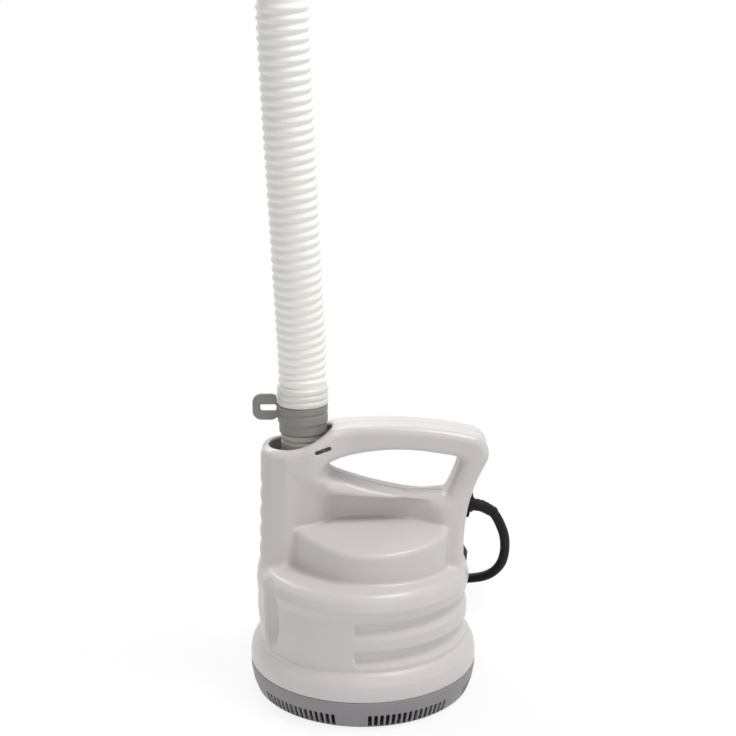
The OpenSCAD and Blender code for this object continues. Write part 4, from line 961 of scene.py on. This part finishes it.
def plain(name, colour, roughness=0.4, metallic=0, spread=0.04, **sockets):
    """Plastic, rubber or metal with a fine grain, slight colour drift and uneven gloss."""
    material = bpy.data.materials.new(name)
    material.use_nodes = True
    tree = material.node_tree
    shader = tree.nodes["Principled BSDF"]
    shader.inputs["Metallic"].default_value = metallic
    for key, value in sockets.items():
        shader.inputs[key.replace("_", " ")].default_value = value
    place = tree.nodes.new("ShaderNodeTexCoord")
    drift = tree.nodes.new("ShaderNodeTexNoise")
    drift.inputs["Scale"].default_value = DRIFT_SCALE
    drift.inputs["Detail"].default_value = 3
    tree.links.new(place.outputs["Object"], drift.inputs["Vector"])
    ramp = tree.nodes.new("ShaderNodeMix")
    ramp.data_type = "RGBA"
    ramp.inputs["A"].default_value = [c * (1 - spread) for c in colour] + [1]
    ramp.inputs["B"].default_value = [min(c * (1 + spread), 1) for c in colour] + [1]
    tree.links.new(drift.outputs["Fac"], ramp.inputs["Factor"])
    tree.links.new(ramp.outputs["Result"], shader.inputs["Base Color"])
    gloss = tree.nodes.new("ShaderNodeMapRange")
    gloss.inputs["To Min"].default_value = roughness * (1 - GLOSS_SPREAD)
    gloss.inputs["To Max"].default_value = roughness * (1 + GLOSS_SPREAD)
    tree.links.new(drift.outputs["Fac"], gloss.inputs["Value"])
    tree.links.new(gloss.outputs["Result"], shader.inputs["Roughness"])
    grain = tree.nodes.new("ShaderNodeTexNoise")
    grain.inputs["Scale"].default_value = GRAIN_SCALE
    grain.inputs["Detail"].default_value = 2
    tree.links.new(place.outputs["Object"], grain.inputs["Vector"])
    bumps = tree.nodes.new("ShaderNodeBump")
    bumps.inputs["Strength"].default_value = GRAIN_STRENGTH
    bumps.inputs["Distance"].default_value = GRAIN_HEIGHT_M
    tree.links.new(grain.outputs["Fac"], bumps.inputs["Height"])
    tree.links.new(bumps.outputs["Normal"], shader.inputs["Normal"])
    return material


def srgb(r, g, b):
    """Linear colour from 0-255 values."""
    def line(c):
        c /= 255
        return c / 12.92 if c <= 0.04045 else ((c + 0.055) / 1.055) ** 2.4
    return [line(r), line(g), line(b)]


body_plastic = plain("body_plastic", srgb(207, 202, 201), roughness=0.33, spread=0.012)
base_plastic = plain("base_plastic", srgb(140, 138, 140), roughness=0.5)
dark_plastic = plain("dark_plastic", srgb(92, 92, 95), roughness=0.5)
collar_plastic = plain("collar_plastic", srgb(134, 133, 128), roughness=0.5)
pale_plastic = plain("pale_plastic", srgb(226, 224, 219), roughness=0.35)
stub_plastic = plain("stub_plastic", srgb(172, 168, 158), roughness=0.4)
hose_plastic = plain("hose_plastic", srgb(247, 244, 240), roughness=0.45)
cord_rubber = plain("cord_rubber", srgb(15, 13, 12), roughness=0.6, Specular_IOR_Level=0.25)
black_rubber = plain("black_rubber", srgb(30, 29, 30), roughness=0.7)
steel = plain("steel", srgb(190, 190, 195), roughness=0.3, metallic=1)
blue_plastic = plain("blue_plastic", srgb(60, 110, 170), roughness=0.4)
copper = plain("copper", srgb(184, 110, 70), roughness=0.35, metallic=1)
aluminium = plain("aluminium", srgb(200, 202, 205), roughness=0.4, metallic=1)
red_plastic = plain("red_plastic", srgb(190, 50, 40), roughness=0.4)

NODE_MATERIALS = {
    "front_shell": body_plastic, "rear_shell": body_plastic, "shell_screws": steel,
    "base_strainer": base_plastic, "base_screws": steel, "rubber_feet": black_rubber,
    "deck_plate": dark_plastic, "deck_screws": steel, "suction_cover": dark_plastic,
    "volute_casing": dark_plastic, "impeller": blue_plastic, "shaft_seal": black_rubber,
    "motor_can": aluminium, "lower_bracket": aluminium, "upper_bracket": aluminium,
    "lower_bearing": steel, "upper_bearing": steel, "stator_core": steel, "stator_windings": copper,
    "rotor": steel, "shaft": steel, "capacitor": aluminium, "terminal_block": pale_plastic,
    "riser_pipe": pale_plastic, "outlet_stub": pale_plastic, "outlet_collar": collar_plastic,
    "hose_seal": black_rubber, "hose_cuff": pale_plastic, "hose_end_fitting": collar_plastic,
    "cord_gland": cord_rubber, "cord_clamp": dark_plastic, "inner_lead": cord_rubber,
    "motor_leads": red_plastic, "cord_tie": black_rubber, "mains_plug": cord_rubber, "plug_pins": steel}


def paint(obj, material):
    obj.data.materials.clear()
    obj.data.materials.append(material)


for half in shell_halves:
    paint(half, body_plastic)
for obj, material in (
        (base, base_plastic), (collar, collar_plastic), (cuff, pale_plastic), (stub, stub_plastic),
        (gland, cord_rubber), (hose, hose_plastic), (cord, cord_rubber)):
    paint(obj, material)
for node_name, material in NODE_MATERIALS.items():
    for item in nodes[node_name].material_slots:
        item.material = material


# Floor and light. The camera sees a white floor and background; the light on the pump is weaker.

FLOOR_HALF_M = 0.9
FLOOR_SHOWN = 0.86
FADE_M = (0.15, 0.5)
AMBIENT = 0.4


def seen_by_camera(tree):
    """1 for camera, glossy and transmission rays."""
    path = tree.nodes.new("ShaderNodeLightPath")
    first, both = tree.nodes.new("ShaderNodeMath"), tree.nodes.new("ShaderNodeMath")
    first.operation = both.operation = "MAXIMUM"
    tree.links.new(path.outputs["Is Camera Ray"], first.inputs[0])
    tree.links.new(path.outputs["Is Glossy Ray"], first.inputs[1])
    tree.links.new(first.outputs[0], both.inputs[0])
    tree.links.new(path.outputs["Is Transmission Ray"], both.inputs[1])
    return both.outputs[0]


def make_floor():
    mesh = bpy.data.meshes.new("floor")
    corners = [(x * FLOOR_HALF_M, y * FLOOR_HALF_M, 0) for x, y in ((-1, -1), (1, -1), (1, 1), (-1, 1))]
    mesh.from_pydata(corners, [], [(0, 1, 2, 3)])
    floor = link(bpy.data.objects.new("floor", mesh))
    material = bpy.data.materials.new("floor")
    material.use_nodes = True
    tree = material.node_tree
    shader = tree.nodes["Principled BSDF"]
    shader.inputs["Base Color"].default_value = (0.93, 0.93, 0.93, 1)
    shader.inputs["Roughness"].default_value = 0.9
    glow, mix, share, place, reach, fade = (tree.nodes.new("ShaderNode" + kind) for kind in (
        "Emission", "MixShader", "Math", "TexCoord", "VectorMath", "MapRange"))
    share.operation = "MULTIPLY"
    reach.operation = "LENGTH"
    for socket, value in zip(("From Min", "From Max", "To Min", "To Max"), (*FADE_M, FLOOR_SHOWN, 1)):
        fade.inputs[socket].default_value = value
    tree.links.new(place.outputs["Object"], reach.inputs[0])
    tree.links.new(reach.outputs["Value"], fade.inputs["Value"])
    tree.links.new(fade.outputs["Result"], share.inputs[1])
    tree.links.new(seen_by_camera(tree), share.inputs[0])
    tree.links.new(share.outputs[0], mix.inputs[0])
    tree.links.new(shader.outputs[0], mix.inputs[1])
    tree.links.new(glow.outputs[0], mix.inputs[2])
    tree.links.new(mix.outputs[0], tree.nodes["Material Output"].inputs["Surface"])
    mesh.materials.append(material)


def make_world():
    world = bpy.data.worlds.new("world")
    bpy.context.scene.world = world
    world.use_nodes = True
    tree = world.node_tree
    background = tree.nodes["Background"]
    background.inputs["Color"].default_value = (1, 1, 1, 1)
    strength = tree.nodes.new("ShaderNodeMapRange")
    strength.inputs["To Min"].default_value = AMBIENT
    strength.inputs["To Max"].default_value = 1
    tree.links.new(seen_by_camera(tree), strength.inputs["Value"])
    tree.links.new(strength.outputs[0], background.inputs["Strength"])


def area_light(name, at, aim, size, watts):
    """A rectangular lamp; the place and the size are in metres."""
    data = bpy.data.lights.new(name, "AREA")
    data.shape = "RECTANGLE"
    data.size, data.size_y = size
    data.energy = watts
    light = link(bpy.data.objects.new(name, data))
    light.location = at
    direction = np.array(aim) - np.array(at)
    yaw = math.atan2(direction[1], direction[0])
    pitch = math.atan2(direction[2], math.hypot(direction[0], direction[1]))
    light.rotation_euler = (math.pi / 2 + pitch, 0, yaw - math.pi / 2)


make_floor()
make_world()
area_light("key", (0.55, -0.3, 1.6), (0, 0, 0.1), (0.6, 0.6), 15)
area_light("back", (-0.5, 0.9, 1.1), (0, 0, 0.1), (0.9, 0.6), 9)
area_light("front", (0.5, -1.7, 0.45), (0, 0, 0.1), (1.0, 0.8), 3)
area_light("side", (-1.3, -0.6, 0.3), (0, 0, 0.06), (0.7, 0.4), 0.6)
bpy.context.scene.view_settings.view_transform = "Standard"
